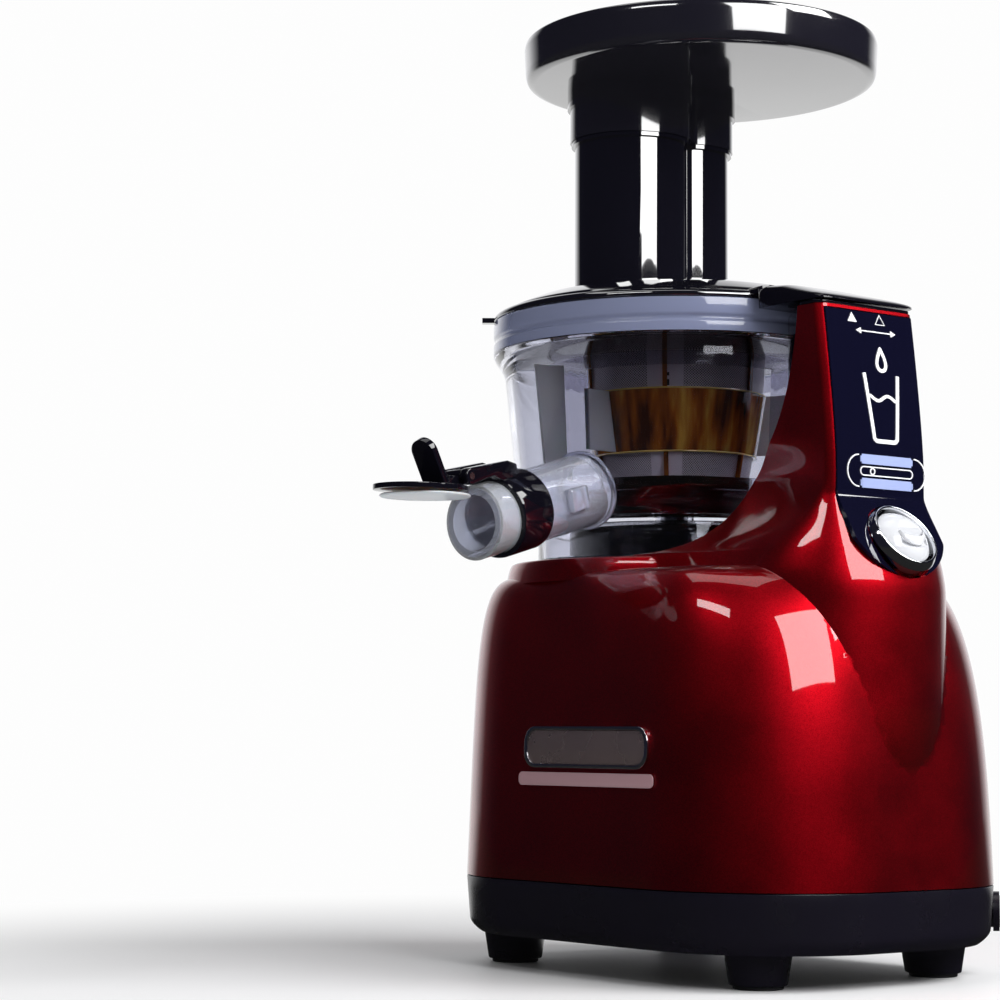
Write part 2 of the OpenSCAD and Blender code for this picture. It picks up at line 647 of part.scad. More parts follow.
module rotor() {
  color([0.6, 0.6, 0.62]) translate([motor_x, 0, 0]) {
    translate([0, 0, stator_z]) cylinder(h = stator_h, r = rotor_r);
    translate([0, 0, can_z - 11]) cylinder(h = gear_1_z + gear_1_w - can_z + 11, r = motor_shaft_r);
  }
}
fan_r = 26;
module cooling_fan() {
  color([0.2, 0.2, 0.22]) translate([motor_x, 0, can_z - 10]) difference() {
    union() {
      cylinder(h = 8, r = 8);
      cylinder(h = 1.6, r = fan_r);
      for (a = [0 : 45 : 315]) rotate([0, 0, a]) translate([6, -0.8, 0]) cube([fan_r - 7, 1.6, 8]);
    }
    translate([0, 0, -1]) cylinder(h = 12, r = motor_shaft_r);
  }
}
module motor_pinion() {
  color(steel) translate([motor_x, 0, gear_1_z]) rotate([0, 0, 180 + mesh_1 + 180 / pinion_n]) difference() {
    gear(pinion_n, mod_1, gear_1_w);
    translate([0, 0, -1]) cylinder(h = gear_1_w + 2, r = motor_shaft_r);
  }
}
module layshaft() {
  color(steel) translate([lay_x, lay_y, box_z + 0.2])
    cylinder(h = cover_z + cover_t - box_z - 0.4, r = lay_r);
}
module first_gear() {
  color([0.85, 0.84, 0.78]) translate([lay_x, lay_y, gear_1_z]) rotate([0, 0, mesh_1]) difference() {
    gear(gear_1_n, mod_1, gear_1_w);
    translate([0, 0, -1]) cylinder(h = gear_1_w + 2, r = lay_r);
    for (a = [30 : 60 : 330]) rotate([0, 0, a]) translate([gear_1_n * mod_1 / 3.2, 0, -1])
      cylinder(h = gear_1_w + 2, r = 5.5);
  }
}
module second_pinion() {
  color(steel) translate([lay_x, lay_y, gear_2_z - 1]) rotate([0, 0, 180 + lay_turn]) difference() {
    gear(pinion_n, mod_2, gear_2_w + 1);
    translate([0, 0, -1]) cylinder(h = gear_2_w + 4, r = lay_r);
  }
}
module output_gear() {
  color([0.85, 0.84, 0.78]) translate([bowl_x, 0, gear_2_z]) rotate([0, 0, mesh_2]) difference() {
    gear(gear_2_n, mod_2, gear_2_w);
    translate([0, 0, -1]) cylinder(h = gear_2_w + 2, r = shaft_r);
    for (z = [-1, gear_2_w - 3]) translate([0, 0, z]) difference() {
      cylinder(h = 4, r = gear_2_n * mod_2 / 2 - 6);
      cylinder(h = 4, r = 14);
    }
  }
}
hex_z = floor_top + 7;
hex_h = 26;
module drive_shaft() {
  color(steel) translate([bowl_x, 0, 0]) {
    translate([0, 0, box_z + 0.2]) cylinder(h = hex_z - box_z - 0.2, r = shaft_r);
    translate([0, 0, hex_z]) cylinder(h = hex_h, r = shaft_r, $fn = 6);
  }
}
board_x = -80;
module control_board() {
  color([0.05, 0.35, 0.15]) translate([board_x, 0, pan_floor + 6]) difference() {
    translate([-16, -32, 0]) cube([32, 64, 1.6]);
    for (s = [-1, 1]) translate([0, s * 28, -1]) cylinder(h = 4, r = 1.6);
  }
  color([0.2, 0.2, 0.25]) translate([board_x + 2, -8, pan_floor + 7.6]) cylinder(h = 30, r = 10);
  color([0.6, 0.45, 0.2]) translate([board_x - 12, 8, pan_floor + 7.6]) cube([20, 14, 12]);
}
module board_posts() {
  color(black) for (s = [-1, 1]) translate([board_x, s * 28, pan_floor]) {
    cylinder(h = 6, r = 3.5);
    cylinder(h = 9, r = 1.5);
  }
}

// --- Bowl with its juice spout and pulp duct ---
rim_in = rim_r - 3.2;
wall_top_r = rim_r - 5.3;
wall_low_r = rim_r - 10;
spout_z = floor_top + 10.4;
module on_spout(reach) {
  translate([bowl_x, 0, spout_z]) rotate([0, 0, spout_turn - 90]) translate([skirt_r + 4, 0, 0])
    rotate([0, 90 + spout_fall, 0]) translate([0, 0, reach - skirt_r - 4]) children();
}
mouth_cut = 9.5;
nose_r = spout_r - 2;
collar_at = spout_reach - 31;
pulp_z = floor_top + 1;
pulp_reach = 108;
pulp_w = 30;
pulp_h = 20;
module pulp_block(grow, from, to) {
  translate([bowl_x - pulp_w / 2 - grow, from, pulp_z - grow])
    cube([pulp_w + 2 * grow, to - from, pulp_h + 2 * grow]);
}
module bowl_profile() {
  t = bowl_t;
  polygon([[shaft_r + 1.6, floor_top - t], [skirt_r - t, floor_top - t], [skirt_r - t, bowl_foot],
    [skirt_r, bowl_foot], [skirt_r, floor_top - 1], [skirt_r + 1.8, floor_top + 2.5],
    [wall_low_r - 1.5, floor_top + 11], [wall_low_r, floor_top + 17], [wall_low_r + 0.6, floor_top + 24],
    [wall_top_r, rim_top - 25], [wall_top_r + 1, rim_top - 22], [rim_r - 1, rim_top - 17],
    [rim_r, rim_top - 15], [rim_r, rim_top - 10], [rim_r - 1.1, rim_top - 9], [rim_r - 1.1, rim_top - 8],
    [rim_r, rim_top - 7], [rim_r, rim_top - 1], [rim_r - 1, rim_top], [rim_in, rim_top], [rim_in, ledge_z],
    [wall_top_r - t, ledge_z], [wall_top_r - t, rim_top - 25], [wall_low_r - t + 0.6, floor_top + 24],
    [wall_low_r - t, floor_top + 17], [wall_low_r - t - 1.7, floor_top + 11.5],
    [skirt_r - 1, floor_top + 4], [skirt_r - 3, floor_top],
    [shaft_r + 4, floor_top], [shaft_r + 4, floor_top + 5], [shaft_r + 1.6, floor_top + 5]]);
}
module bowl() {
  color(smoke) difference() {
    union() {
      translate([bowl_x, 0, 0]) rotate_extrude() bowl_profile();
      difference() {
        union() {
          on_spout(collar_at) translate([0, 0, -46]) cylinder(h = 46, r = spout_r);
          on_spout(collar_at) cylinder(h = spout_reach - collar_at + 14, r = nose_r);
          on_spout(skirt_r + 3) cylinder(h = 2.6, r = spout_r + 1.2);
          on_spout(84) translate([-4, spout_r - 3, 0]) cube([10, 6, 12]);
          pulp_block(2.4, skirt_r - 4, pulp_reach);
        }
        translate([bowl_x, 0, 0]) rotate_extrude() polygon([[0, floor_top - 8], [skirt_r - 2, floor_top - 8],
          [skirt_r - 2, floor_top + 3], [wall_low_r - bowl_t - 1.8, floor_top + 11.5],
          [wall_low_r - bowl_t, floor_top + 17],
          [wall_low_r - bowl_t, rim_top], [0, rim_top]]);
        on_spout(spout_reach) rotate([0, -mouth_cut, 0]) translate([0, 0, 25]) cube(50, center = true);
      }
      translate([bowl_x, idler_y, floor_top - 1]) cylinder(h = 9.6, r = idler_pin_r);
    }
    on_spout(0) translate([0, 0, skirt_r - 8]) cylinder(h = 120, r = nose_r - 2.4);
    pulp_block(0, skirt_r - 12, pulp_reach + 1);
  }
}
collar_r = spout_r + 1.4;
collar_w = 19;
hinge_up = 19.7;
hinge_out = collar_w + 18;
hinge_pin_r = 1.4;
hinge_y = 6.6;
module on_collar() { on_spout(collar_at + 0.2) children(); }
// Hinge of the drip cap: the pin lies across, above the mouth of the spout
module on_hinge() {
  on_collar() translate([-hinge_up, 0, hinge_out]) rotate([0, -90 - spout_fall, 0]) children();
}
module spout_collar() {
  arm = 4;
  color(black) difference() {
    union() {
      on_collar() cylinder(h = collar_w, r = collar_r);
      difference() {
        on_collar() cylinder(h = 44, r = nose_r + 1.4);
        on_spout(spout_reach - 1.2) rotate([0, -mouth_cut, 0]) translate([0, 0, 25]) cube(50, center = true);
      }
      for (s = [-1, 1]) {
        on_collar() translate([-hinge_up, s * hinge_y, hinge_out]) rotate([90, 0, 0])
          cylinder(h = arm, r = 3.4, center = true);
        on_collar() translate([-hinge_up - 2.2, s * hinge_y - arm / 2, 8]) cube([4.4, arm, hinge_out - 8]);
        on_collar() translate([-hinge_up, s * hinge_y - arm / 2, 8]) cube([6, arm, collar_w - 8]);
      }
    }
    on_collar() translate([0, 0, -1]) cylinder(h = 60, r = nose_r + 0.1);
    on_collar() translate([-hinge_up, 20, hinge_out]) rotate([90, 0, 0]) cylinder(h = 40, r = hinge_pin_r);
  }
}
module cap_pin() {
  l = 2 * hinge_y + 4;
  color(steel) on_collar() translate([-hinge_up, l / 2, hinge_out]) rotate([90, 0, 0])
    cylinder(h = l, r = hinge_pin_r);
}
plate_r = 17;
plate_at = 18.3;
plate_z = -7;
plate_t = 2;
stem_r = 3;
plug_gap = 2.2;
module cap_lever() {
  wide = 2 * hinge_y - 4.6;
  color(black) on_hinge() difference() {
    union() {
      rotate([90, 0, 0]) cylinder(h = wide, r = 3, center = true);
      translate([0, -wide / 2, plate_z]) cube([9, wide, 7]);
      translate([plate_at, 0, plate_z]) cylinder(h = plate_t, r = plate_r);
      translate([plate_at + 8, 0, plate_z]) cylinder(h = plate_t, r = plate_r - 2);
      translate([plate_at, 0, plate_z - plug_gap]) cylinder(h = plug_gap + 1, r = stem_r);
      translate([10, 0, plate_z + 1]) rotate([0, 30, 0]) {
        translate([-1.5, -5.5, 0]) cube([3, 11, 17]);
        translate([-1.5, 0, 17]) rotate([0, 90, 0]) cylinder(h = 3, r = 5.5);
        translate([-4, -3.5, -1]) cube([5, 7, 8]);
      }
    }
    translate([0, 20, 0]) rotate([90, 0, 0]) cylinder(h = 40, r = hinge_pin_r + 0.05);
  }
}
plug_r = 18;
module cap_plug() {
  color(clear_white) on_hinge() translate([plate_at, 0, plate_z - plug_gap]) difference() {
    rotate_extrude() polygon([[0, -0.5], [9, -0.5], [plug_r - 0.5, 0], [plug_r, 0.6], [plug_r - 0.6, 1.1],
      [9, 0.9],
      [stem_r + 2, 1.6], [0, 1.6]]);
    cylinder(h = 3, r = stem_r);
  }
}
module pulp_gasket() {
  color([0.5, 0.5, 0.52]) difference() {
    pulp_block(4.2, pulp_reach - 9, pulp_reach - 3);
    pulp_block(2.4, pulp_reach - 20, pulp_reach + 3);
  }
}

// --- Strainer, wipers and their drive ---
sieve_top = ledge_z;
sieve_low = floor_top + 15;
band_top = sieve_top - 19;
band_low = band_top - 26;
function sieve_r(z) = z > band_top ? mix(sieve_top_r - 1.2, sieve_top_r, (z - band_top)
  / (sieve_top - band_top))
  : z > band_low ? mix(sieve_low_r + 2.6, sieve_top_r - 1.2, (z - band_low) / (band_top - band_low))
  : mix(sieve_low_r, sieve_low_r + 2.6, (z - sieve_low) / (band_low - sieve_low));
module strainer_mesh() {
  zs = [sieve_low, band_low, band_top, sieve_top];
  color(steel) translate([bowl_x, 0, 0]) rotate_extrude()
    polygon(concat([for (z = zs) [sieve_r(z), z]], [for (i = [3 : -1 : 0]) [sieve_r(zs[i]) - sieve_t,
      zs[i]]]));
}
module strainer_frame() {
  g = 0.05;
  t = 1.6;
  color(amber) translate([bowl_x, 0, 0]) {
    rotate_extrude() polygon([[sieve_r(sieve_top) - sieve_t, sieve_top + g], [rim_in - 0.4, sieve_top + g],
      [rim_in - 0.4, sieve_top + 2.6], [54, sieve_top + 2.6], [54, sieve_top + 8], [52, sieve_top + 8],
      [52, sieve_top + 2.6],
      [sieve_r(sieve_top) - sieve_t, sieve_top + 2.6]]);
    rotate_extrude() polygon([[sieve_r(band_low) + g, band_low], [sieve_r(band_low) + t, band_low],
      [sieve_r(band_top) + t, band_top], [sieve_r(band_top) + g, band_top]]);
    rotate_extrude() polygon([[sieve_low_r + g, sieve_low - 2], [sieve_low_r + t, sieve_low - 2],
      [sieve_low_r + t + 0.6, sieve_low + 3],
      [sieve_r(sieve_low + 3) + g, sieve_low + 3], [sieve_low_r + g, sieve_low]]);
    rotate_extrude() polygon([[auger_base_r + 1.2, sieve_low - 3.2], [sieve_low_r + t, sieve_low - 3.2],
      [sieve_low_r + t, sieve_low - g], [auger_base_r + 1.2, sieve_low - g]]);
    for (a = [0 : 60 : 300]) rotate([0, 0, rib_turn + a]) rotate([90, 0, 0]) linear_extrude(2, center = true)
      polygon([[sieve_low_r + 0.3, sieve_low], [sieve_low_r + t, sieve_low], [sieve_r(band_low) + t,
        band_low + 1],
        [sieve_r(band_low) + 0.3, band_low + 1]]);
    for (a = [0 : 60 : 300]) rotate([0, 0, rib_turn + a]) rotate([90, 0, 0]) linear_extrude(2, center = true)
      polygon([[sieve_r(band_top) + 0.3, band_top - 1], [sieve_r(band_top) + t, band_top - 1],
        [sieve_r(sieve_top) + t, sieve_top + 1], [sieve_r(sieve_top) + 0.3, sieve_top + 1]]);
  }
}
wiper_top = ledge_z - 4;
wiper_low = floor_top + 9;
wiper_t = 2;
function wiper_r(z) = wiper_top_r - 3 * (wiper_top - z) / (wiper_top - wiper_low);
bar_angle = 30;
rib_turn = 13;
window_mid = -38;
module sector(a1, a2, r) {
  polygon(concat([[0, 0]], [for (i = [0 : 6]) let (a = mix(a1, a2, i / 6)) [r * cos(a), r * sin(a)]]));
}
ring_teeth = 44;
mod_3 = 1.5;
ring_in = ring_teeth * mod_3 / 2;
ring_out = ring_in + 5;
module wiper_frame() {
  color(black) translate([bowl_x, 0, 0]) difference() {
    union() {
      rotate_extrude() polygon([[wiper_r(wiper_low) - wiper_t, wiper_low], [wiper_r(wiper_low),
        wiper_low], [wiper_top_r, wiper_top],
        [wiper_top_r - wiper_t, wiper_top]]);
      translate([0, 0, wiper_low]) difference() {
        cylinder(h = 2, r = wiper_r(wiper_low) - 0.5);
        translate([0, 0, -1]) cylinder(h = 4, r = ring_out + 0.02);
      }
    }
    for (k = [0 : 2]) translate([0, 0, wiper_low + 7]) linear_extrude(wiper_top - wiper_low - 14)
      sector(window_mid + 120 * k - 45, window_mid + 120 * k + 45, 90);
  }
}
module wiper_blades() {
  w = 1.6;
  color(clear_white) translate([bowl_x, 0, 0]) for (k = [0 : 2]) {
    rotate([0, 0, window_mid + 120 * k - 45 - 2]) rotate([90, 0, 0]) linear_extrude(w, center = true)
      polygon([[sieve_r(band_low) + 2.4, band_low], [wiper_r(band_low) - wiper_t - 0.1, band_low],
        [wiper_r(band_top) - wiper_t - 0.1, band_top], [sieve_r(band_top) + 2.4, band_top]]);
    rotate([0, 0, window_mid + 120 * k + 60]) rotate([90, 0, 0]) linear_extrude(w, center = true)
      polygon([[wiper_r(wiper_low + 8) + 0.1, wiper_low + 8], [wall_low_r - bowl_t - 1.4, wiper_low + 14],
        [wall_top_r - bowl_t - 1.2, wiper_top - 4], [wiper_r(wiper_top - 4) + 0.1, wiper_top - 4]]);
  }
}
gear_3_z = floor_top + 1.2;
gear_3_w = 7;
idler_teeth = 12;
sun_teeth = 20;
idler_pin_r = 2.5;
idler_y = mod_3 * (sun_teeth + idler_teeth) / 2;
auger_base_r = sun_teeth * mod_3 / 2 + 2;
module ring_gear() {
  color([0.1, 0.1, 0.11]) translate([bowl_x, 0, gear_3_z - 0.9]) difference() {
    cylinder(h = wiper_low + 2 - gear_3_z + 0.9, r = ring_out);
    translate([0, 0, -1]) cylinder(h = 30, r = ring_in + 0.9 * mod_3);
  }
  color([0.1, 0.1, 0.11]) translate([bowl_x, 0, gear_3_z - 0.9]) rotate([0, 0, 90])
    for (i = [0 : ring_teeth - 1])
    rotate([0, 0, 360 / ring_teeth * (i + 0.5)]) linear_extrude(gear_3_w + 0.9)
      polygon([for (q = [[-0.7, -0.3], [0.95, -1], [0.95, 1], [-0.7, 0.3]]) [ring_in + q[0] * mod_3,
        q[1] * mod_3]]);
}
module idler_gear() {
  color(clear_white) translate([bowl_x, idler_y, gear_3_z]) rotate([0, 0, 90]) difference() {
    gear(idler_teeth, mod_3, gear_3_w - 0.6);
    translate([0, 0, -1]) cylinder(h = gear_3_w + 2, r = idler_pin_r + shaft_fit);
  }
}

// --- Auger ---
auger_low = floor_top + 9;
auger_top = sieve_top - 2;
module auger() {
  color(black) translate([bowl_x, 0, 0]) difference() {
    union() {
      translate([0, 0, gear_3_z]) rotate([0, 0, 90 + 180 / sun_teeth]) gear(sun_teeth, mod_3, gear_3_w);
      rotate_extrude() polygon([[0, gear_3_z + gear_3_w - 0.5], [14, gear_3_z + gear_3_w - 0.5],
        [14, gear_3_z + gear_3_w], [auger_base_r - 0.6, gear_3_z + gear_3_w],
        [auger_base_r - 0.6, sieve_low], [auger_core_r, sieve_low + 6], [auger_core_r, auger_top - 12],
        [auger_core_r - 4, auger_top - 4],
        [auger_core_r - 11, auger_top], [0, auger_top]]);
    }
    translate([0, 0, gear_3_z - 1]) cylinder(h = hex_z + 1.3 - gear_3_z, r = shaft_r + 4.6);
    translate([0, 0, gear_3_z - 1]) cylinder(h = hex_z + hex_h + 2 - gear_3_z, r = shaft_r + 0.3, $fn = 6);
  }
}
// A flight winds up the core and stays inside the strainer
module flight(start) {
  n = 40;
  turn = 400;
  z1 = sieve_low + 4;
  z2 = auger_top - 7;
  skin([for (i = [0 : n]) let (t = i / n, a = start + turn * t, z = mix(z1, z2, t), r1 = auger_core_r - 0.6,
    r2 = sieve_r(z - 2) - sieve_t - flight_gap, r =
      mix(r1 + 1.5, r2, min(1, min(t * 5 + 0.3, (1 - t) * 6 + 0.1))),
    w1 = 3.4, w2 = 1.4)
    [for (q = [[r1, -w1], [r, -w2], [r, w2], [r1, w1]]) [q[0] * cos(a), q[0] * sin(a), z + q[1]]]]);
}
module auger_flights() {
  color(black) translate([bowl_x, 0, 0]) for (k = [0 : auger_flights_n - 1])
    flight(k * 360 / auger_flights_n);
}
tip_r = 4.5;
tip_h = 17;
module auger_tip() {
  color(steel) translate([bowl_x, 0, auger_top]) cylinder(h = tip_h, r = tip_r);
}

// --- Lid, feed chute and tray ---
lid_z = rim_top + 0.3;
dome_top = lid_z + dome_rise;
chute_x = bowl_x - chute_off;
chute_top = tray_top - tray_depth + 3;
chute_y = -12;
chute_turn = 3.6;
// Points on an arc round c from angle a to angle b
function arc(c, r, a, b, n = 36) = [for (i = [0 : n]) let (t = a + (b - a) * i / n) c + r * [cos(t), sin(t)]];
// Plan of the feed chute, two lobes side by side, grown outwards by g: the lobes cross at a notch on one side
// and a straight wall joins them on the other
module chute_plan(g) {
  r = [chute_r + g, chute_low_r + g];
  wall_a = 180 - asin((r[0] - r[1]) / chute_lobes);
  along = (pow(chute_lobes, 2) + pow(r[0], 2) - pow(r[1], 2)) / (2 * chute_lobes);
  across = sqrt(pow(r[0], 2) - pow(along, 2));
  small = arc([0, chute_lobes], r[1], atan2(along - chute_lobes, across), wall_a);
  large = arc([0, 0], r[0], wall_a, 360 + atan2(along, across));
  translate([chute_x, chute_y]) rotate(chute_turn)
    polygon(concat(small, [for (i = [0 : len(large) - 2]) large[i]]));
}
bush_r_out = tip_r + 2;
bush_top = auger_top + tip_h + 1;
sleeve_low = tray_top - tray_depth - 22;
// The lid's outside from the rim to the middle of the dome, grown by g
function lid_skin(g) = [for (q = [[rim_r, 0], [rim_r, 1.6], [rim_r - 1.4, 3], [rim_r - 5, 3.6],
  [rim_r - 6.2, 5], [rim_r - 17, 9.4], [rim_r - 29, 12.2], [rim_r - 41, dome_rise - 0.8],
  [rim_r - 53, dome_rise],
    [0, dome_rise]])
  [q[0], lid_z + q[1] + g]];
module lid() {
  color(black) difference() {
    union() {
      translate([bowl_x, 0, 0]) rotate_extrude()
        polygon(concat([[0, lid_z - 3], [38, lid_z - 3], [38, lid_z + 3],
        [rim_in - 4, lid_z - 1], [rim_in - 4, lid_z - 6], [rim_in - 1.6, lid_z - 6],
          [rim_in - 1.6, lid_z]], lid_skin(0)));
      translate([0, 0, sleeve_low - 1.8]) linear_extrude(1.6) chute_plan(1.6);
      translate([0, 0, lid_z + 2]) linear_extrude(chute_top - lid_z - 2) chute_plan(0);
      translate([bowl_x, 0, lid_z - 3]) cylinder(h = dome_rise, r = bush_r_out + 1.4);
      translate([bowl_x, 0, lid_z]) rotate([0, 0, -128]) translate([rim_r - 2, -2.5, 0]) cube([7, 5, 2.2]);
    }
    difference() {
      union() {
        translate([0, 0, lid_z + 4]) linear_extrude(200) chute_plan(-chute_t);
        intersection() {
          translate([0, 0, lid_z - 4]) linear_extrude(10) chute_plan(-chute_t);
          translate([bowl_x, 0, lid_z - 4]) cylinder(h = 20, r = 35.5);
        }
      }
      translate([bowl_x, 0, lid_z - 4]) cylinder(h = dome_rise + 4, r = bush_r_out + 1.4);
    }
    translate([bowl_x, 0, lid_z - 4]) cylinder(h = bush_top - lid_z + 4, r = bush_r_out);
  }
}
module tip_bush() {
  color([0.8, 0.8, 0.78]) translate([bowl_x, 0, lid_z - 3]) difference() {
    cylinder(h = bush_top - lid_z + 3, r = bush_r_out);
    translate([0, 0, -1]) cylinder(h = bush_top - lid_z + 3.5, r = tip_r + shaft_fit);
  }
}
module lid_seal() {
  color([0.8, 0.8, 0.8]) ring(bowl_x, 0, lid_z - 4.6, rim_in - 0.25, rim_in - 1.6, 2.6);
}
tail_low = col_top + 0.2 + cap_t + 0.4;
module lid_tail() {
  x0 = bowl_x + 66;
  x1 = liner_front() + 0.5;
  x2 = back_x(col_top) + 1.2;
  w = col_wid / 2;
  color(black) difference() {
    intersection() {
      across(col_wid + 4) polygon([[x1, tail_low], [x2 - 1, tail_low], [x2, tail_low + 0.6],
        [x2 - 1.5, tail_low + 1.6], [x2 - 6, tail_low + 3.2], [x0 + 26, tail_low + 9.4],
        [x0 + 2, tail_low + 15.4], [x0 - 3, tail_low + 15.6], [x0 - 3, lid_z + 1],
        [x1, lid_z + 1]]);
      linear_extrude(400) polygon([[x0 - 6, -w + 5], [x1 + 2, -w + 1.5], [x2 - 5, -w - 0.4], [x2, -w + 4.6],
        [x2, w - 4.6], [x2 - 5, w + 0.4], [x1 + 2, w - 1.5], [x0 - 6, w - 5]]);
    }
    translate([bowl_x, 0, 0]) rotate_extrude() polygon(concat([[0, 0], [rim_r, 0]], lid_skin(0.05)));
  }
}
module hopper_tray() {
  x = bowl_x + tray_shift;
  z = tray_top - tray_depth;
  t = 2.6;
  color(black) difference() {
    union() {
      translate([x, 0, 0]) rotate_extrude() polygon([[0, z], [tray_r - 4, z], [tray_r - 1.4, z + 1],
        [tray_r - 0.6, z + 3.4], [tray_r, tray_top - 3], [tray_r - 0.6, tray_top - 0.6],
        [tray_r - 1.6, tray_top], [tray_r - 2.6, tray_top - 0.6],
        [tray_r - 3.4, z + 5], [tray_r - 6, z + t], [0, z + t]]);
      translate([0, 0, z - 7]) linear_extrude(8) chute_plan(3.4);
      translate([0, 0, sleeve_low]) linear_extrude(z - sleeve_low + 1) chute_plan(2.2);
    }
    translate([0, 0, sleeve_low - 1]) linear_extrude(60) chute_plan(0.3);
  }
}

housing();
base_pan();
feet();
foot_pads();
foot_screws();
pan_screws();
cord_gland();
column_cap();
column_liner();
control_panel();
switch_bezel();
switch_body();
rocker();
rocker_pin();
badge_frame();
badge_plate();
badge_strip();
bowl_seat();
shaft_seal();
motor_can();
motor_bracket();
stator();
windings();
rotor();
cooling_fan();
motor_pinion();
gearbox_case();
gearbox_cover();
gearbox_posts();
bearings();
layshaft();
first_gear();
second_pinion();
output_gear();
drive_shaft();
control_board();
board_posts();
bowl();
spout_collar();
cap_lever();
cap_pin();
cap_plug();
pulp_gasket();
strainer_mesh();
strainer_frame();
wiper_frame();
wiper_blades();
ring_gear();
idler_gear();
auger();
auger_flights();
auger_tip();
lid();
lid_tail();
lid_seal();
tip_bush();
hopper_tray();
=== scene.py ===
import json
import math

import bmesh
import bpy
import numpy as np
from mathutils import Matrix, Quaternion, Vector

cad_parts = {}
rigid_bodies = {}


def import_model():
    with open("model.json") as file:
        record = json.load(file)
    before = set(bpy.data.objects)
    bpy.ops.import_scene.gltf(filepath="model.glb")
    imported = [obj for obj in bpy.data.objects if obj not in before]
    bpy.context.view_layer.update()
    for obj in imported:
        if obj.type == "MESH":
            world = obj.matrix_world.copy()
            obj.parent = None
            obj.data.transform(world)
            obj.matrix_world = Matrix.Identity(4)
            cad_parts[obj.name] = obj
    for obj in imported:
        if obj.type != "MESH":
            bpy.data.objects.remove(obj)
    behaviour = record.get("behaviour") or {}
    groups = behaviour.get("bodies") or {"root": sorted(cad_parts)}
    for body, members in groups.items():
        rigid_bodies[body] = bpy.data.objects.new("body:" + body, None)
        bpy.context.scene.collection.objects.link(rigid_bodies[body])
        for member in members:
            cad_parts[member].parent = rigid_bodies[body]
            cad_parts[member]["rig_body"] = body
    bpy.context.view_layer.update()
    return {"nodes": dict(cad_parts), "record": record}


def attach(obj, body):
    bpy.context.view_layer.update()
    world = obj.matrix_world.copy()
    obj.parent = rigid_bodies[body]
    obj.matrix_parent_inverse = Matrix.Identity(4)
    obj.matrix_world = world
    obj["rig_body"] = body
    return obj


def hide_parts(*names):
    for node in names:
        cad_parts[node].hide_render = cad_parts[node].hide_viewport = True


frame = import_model()

# A cold press juicer: red motor base and column, clear juicing bowl, strainer and auger, black lid,
# feed chute and tray.

# The room: a white table that fades into a white surround, so that the machine keeps its soft shadow.
# The camera stands low, in front of the badge side and turned towards the panel.
scene = bpy.context.scene
scene.view_settings.view_transform = "Standard"
eye = Vector((0.8393, -0.7636, 0.098))
yaw, pitch, roll = 0.915, 0.0885, 0.005
gaze = Vector((-math.sin(yaw) * math.cos(pitch), math.cos(yaw) * math.cos(pitch), math.sin(pitch)))
camera = bpy.data.objects.new("camera", bpy.data.cameras.new("camera"))
camera.data.sensor_width = 36
camera.data.lens = 95.14
camera.rotation_mode = "QUATERNION"
camera.rotation_quaternion = gaze.to_track_quat("-Z", "Y") @ Quaternion((0, 0, 1), roll)
camera.location = eye
scene.collection.objects.link(camera)
scene.camera = camera


def wire(material, start, end):
    """Links two sockets of a material, each given as (node, socket)."""
    material.node_tree.links.new(start[0].outputs[start[1]], end[0].inputs[end[1]])


table_size = 30.0
table_mesh = bpy.data.meshes.new("table")
table_mesh.from_pydata([(x * table_size, y * table_size, 0) for x, y in ((-1, -1), (1, -1), (1, 1), (-1, 1))],
                       [], [(0, 1, 2, 3)])
table = bpy.data.objects.new("table", table_mesh)
scene.collection.objects.link(table)
paper = bpy.data.materials.new("white_table")
paper.use_nodes = True
matt = paper.node_tree.nodes["Principled BSDF"]
matt.inputs["Base Color"].default_value = (0.86, 0.86, 0.87, 1)
matt.inputs["Roughness"].default_value = 0.55
glow = paper.node_tree.nodes.new("ShaderNodeEmission")
glow.inputs["Color"].default_value = (0.985, 0.985, 0.985, 1)
place = paper.node_tree.nodes.new("ShaderNodeTexCoord")
reach = paper.node_tree.nodes.new("ShaderNodeVectorMath")
reach.operation = "LENGTH"
fade = paper.node_tree.nodes.new("ShaderNodeMapRange")
fade.interpolation_type = "SMOOTHSTEP"
fade.inputs["From Min"].default_value = 0.16
fade.inputs["From Max"].default_value = 0.55
blend = paper.node_tree.nodes.new("ShaderNodeMixShader")
wire(paper, (place, "Object"), (reach, 0))
wire(paper, (reach, "Value"), (fade, "Value"))
wire(paper, (fade, "Result"), (blend, 0))
wire(paper, (matt, 0), (blend, 1))
wire(paper, (glow, 0), (blend, 2))
back_way = (-math.sin(yaw), math.cos(yaw), 0)
heading = paper.node_tree.nodes.new("ShaderNodeVectorMath")
heading.operation = "NORMALIZE"
behind = paper.node_tree.nodes.new("ShaderNodeVectorMath")
behind.operation = "DOT_PRODUCT"
behind.inputs[1].default_value = back_way
depth = paper.node_tree.nodes.new("ShaderNodeMapRange")
depth.interpolation_type = "SMOOTHSTEP"
depth.inputs["From Min"].default_value = 0.68
depth.inputs["From Max"].default_value = 0.88
depth.inputs["To Min"].default_value = 0.02
depth.inputs["To Max"].default_value = 0.95
sheen = paper.node_tree.nodes.new("ShaderNodeEmission")
path = paper.node_tree.nodes.new("ShaderNodeLightPath")
either = paper.node_tree.nodes.new("ShaderNodeMath")
either.operation = "MAXIMUM"
seen = paper.node_tree.nodes.new("ShaderNodeMixShader")
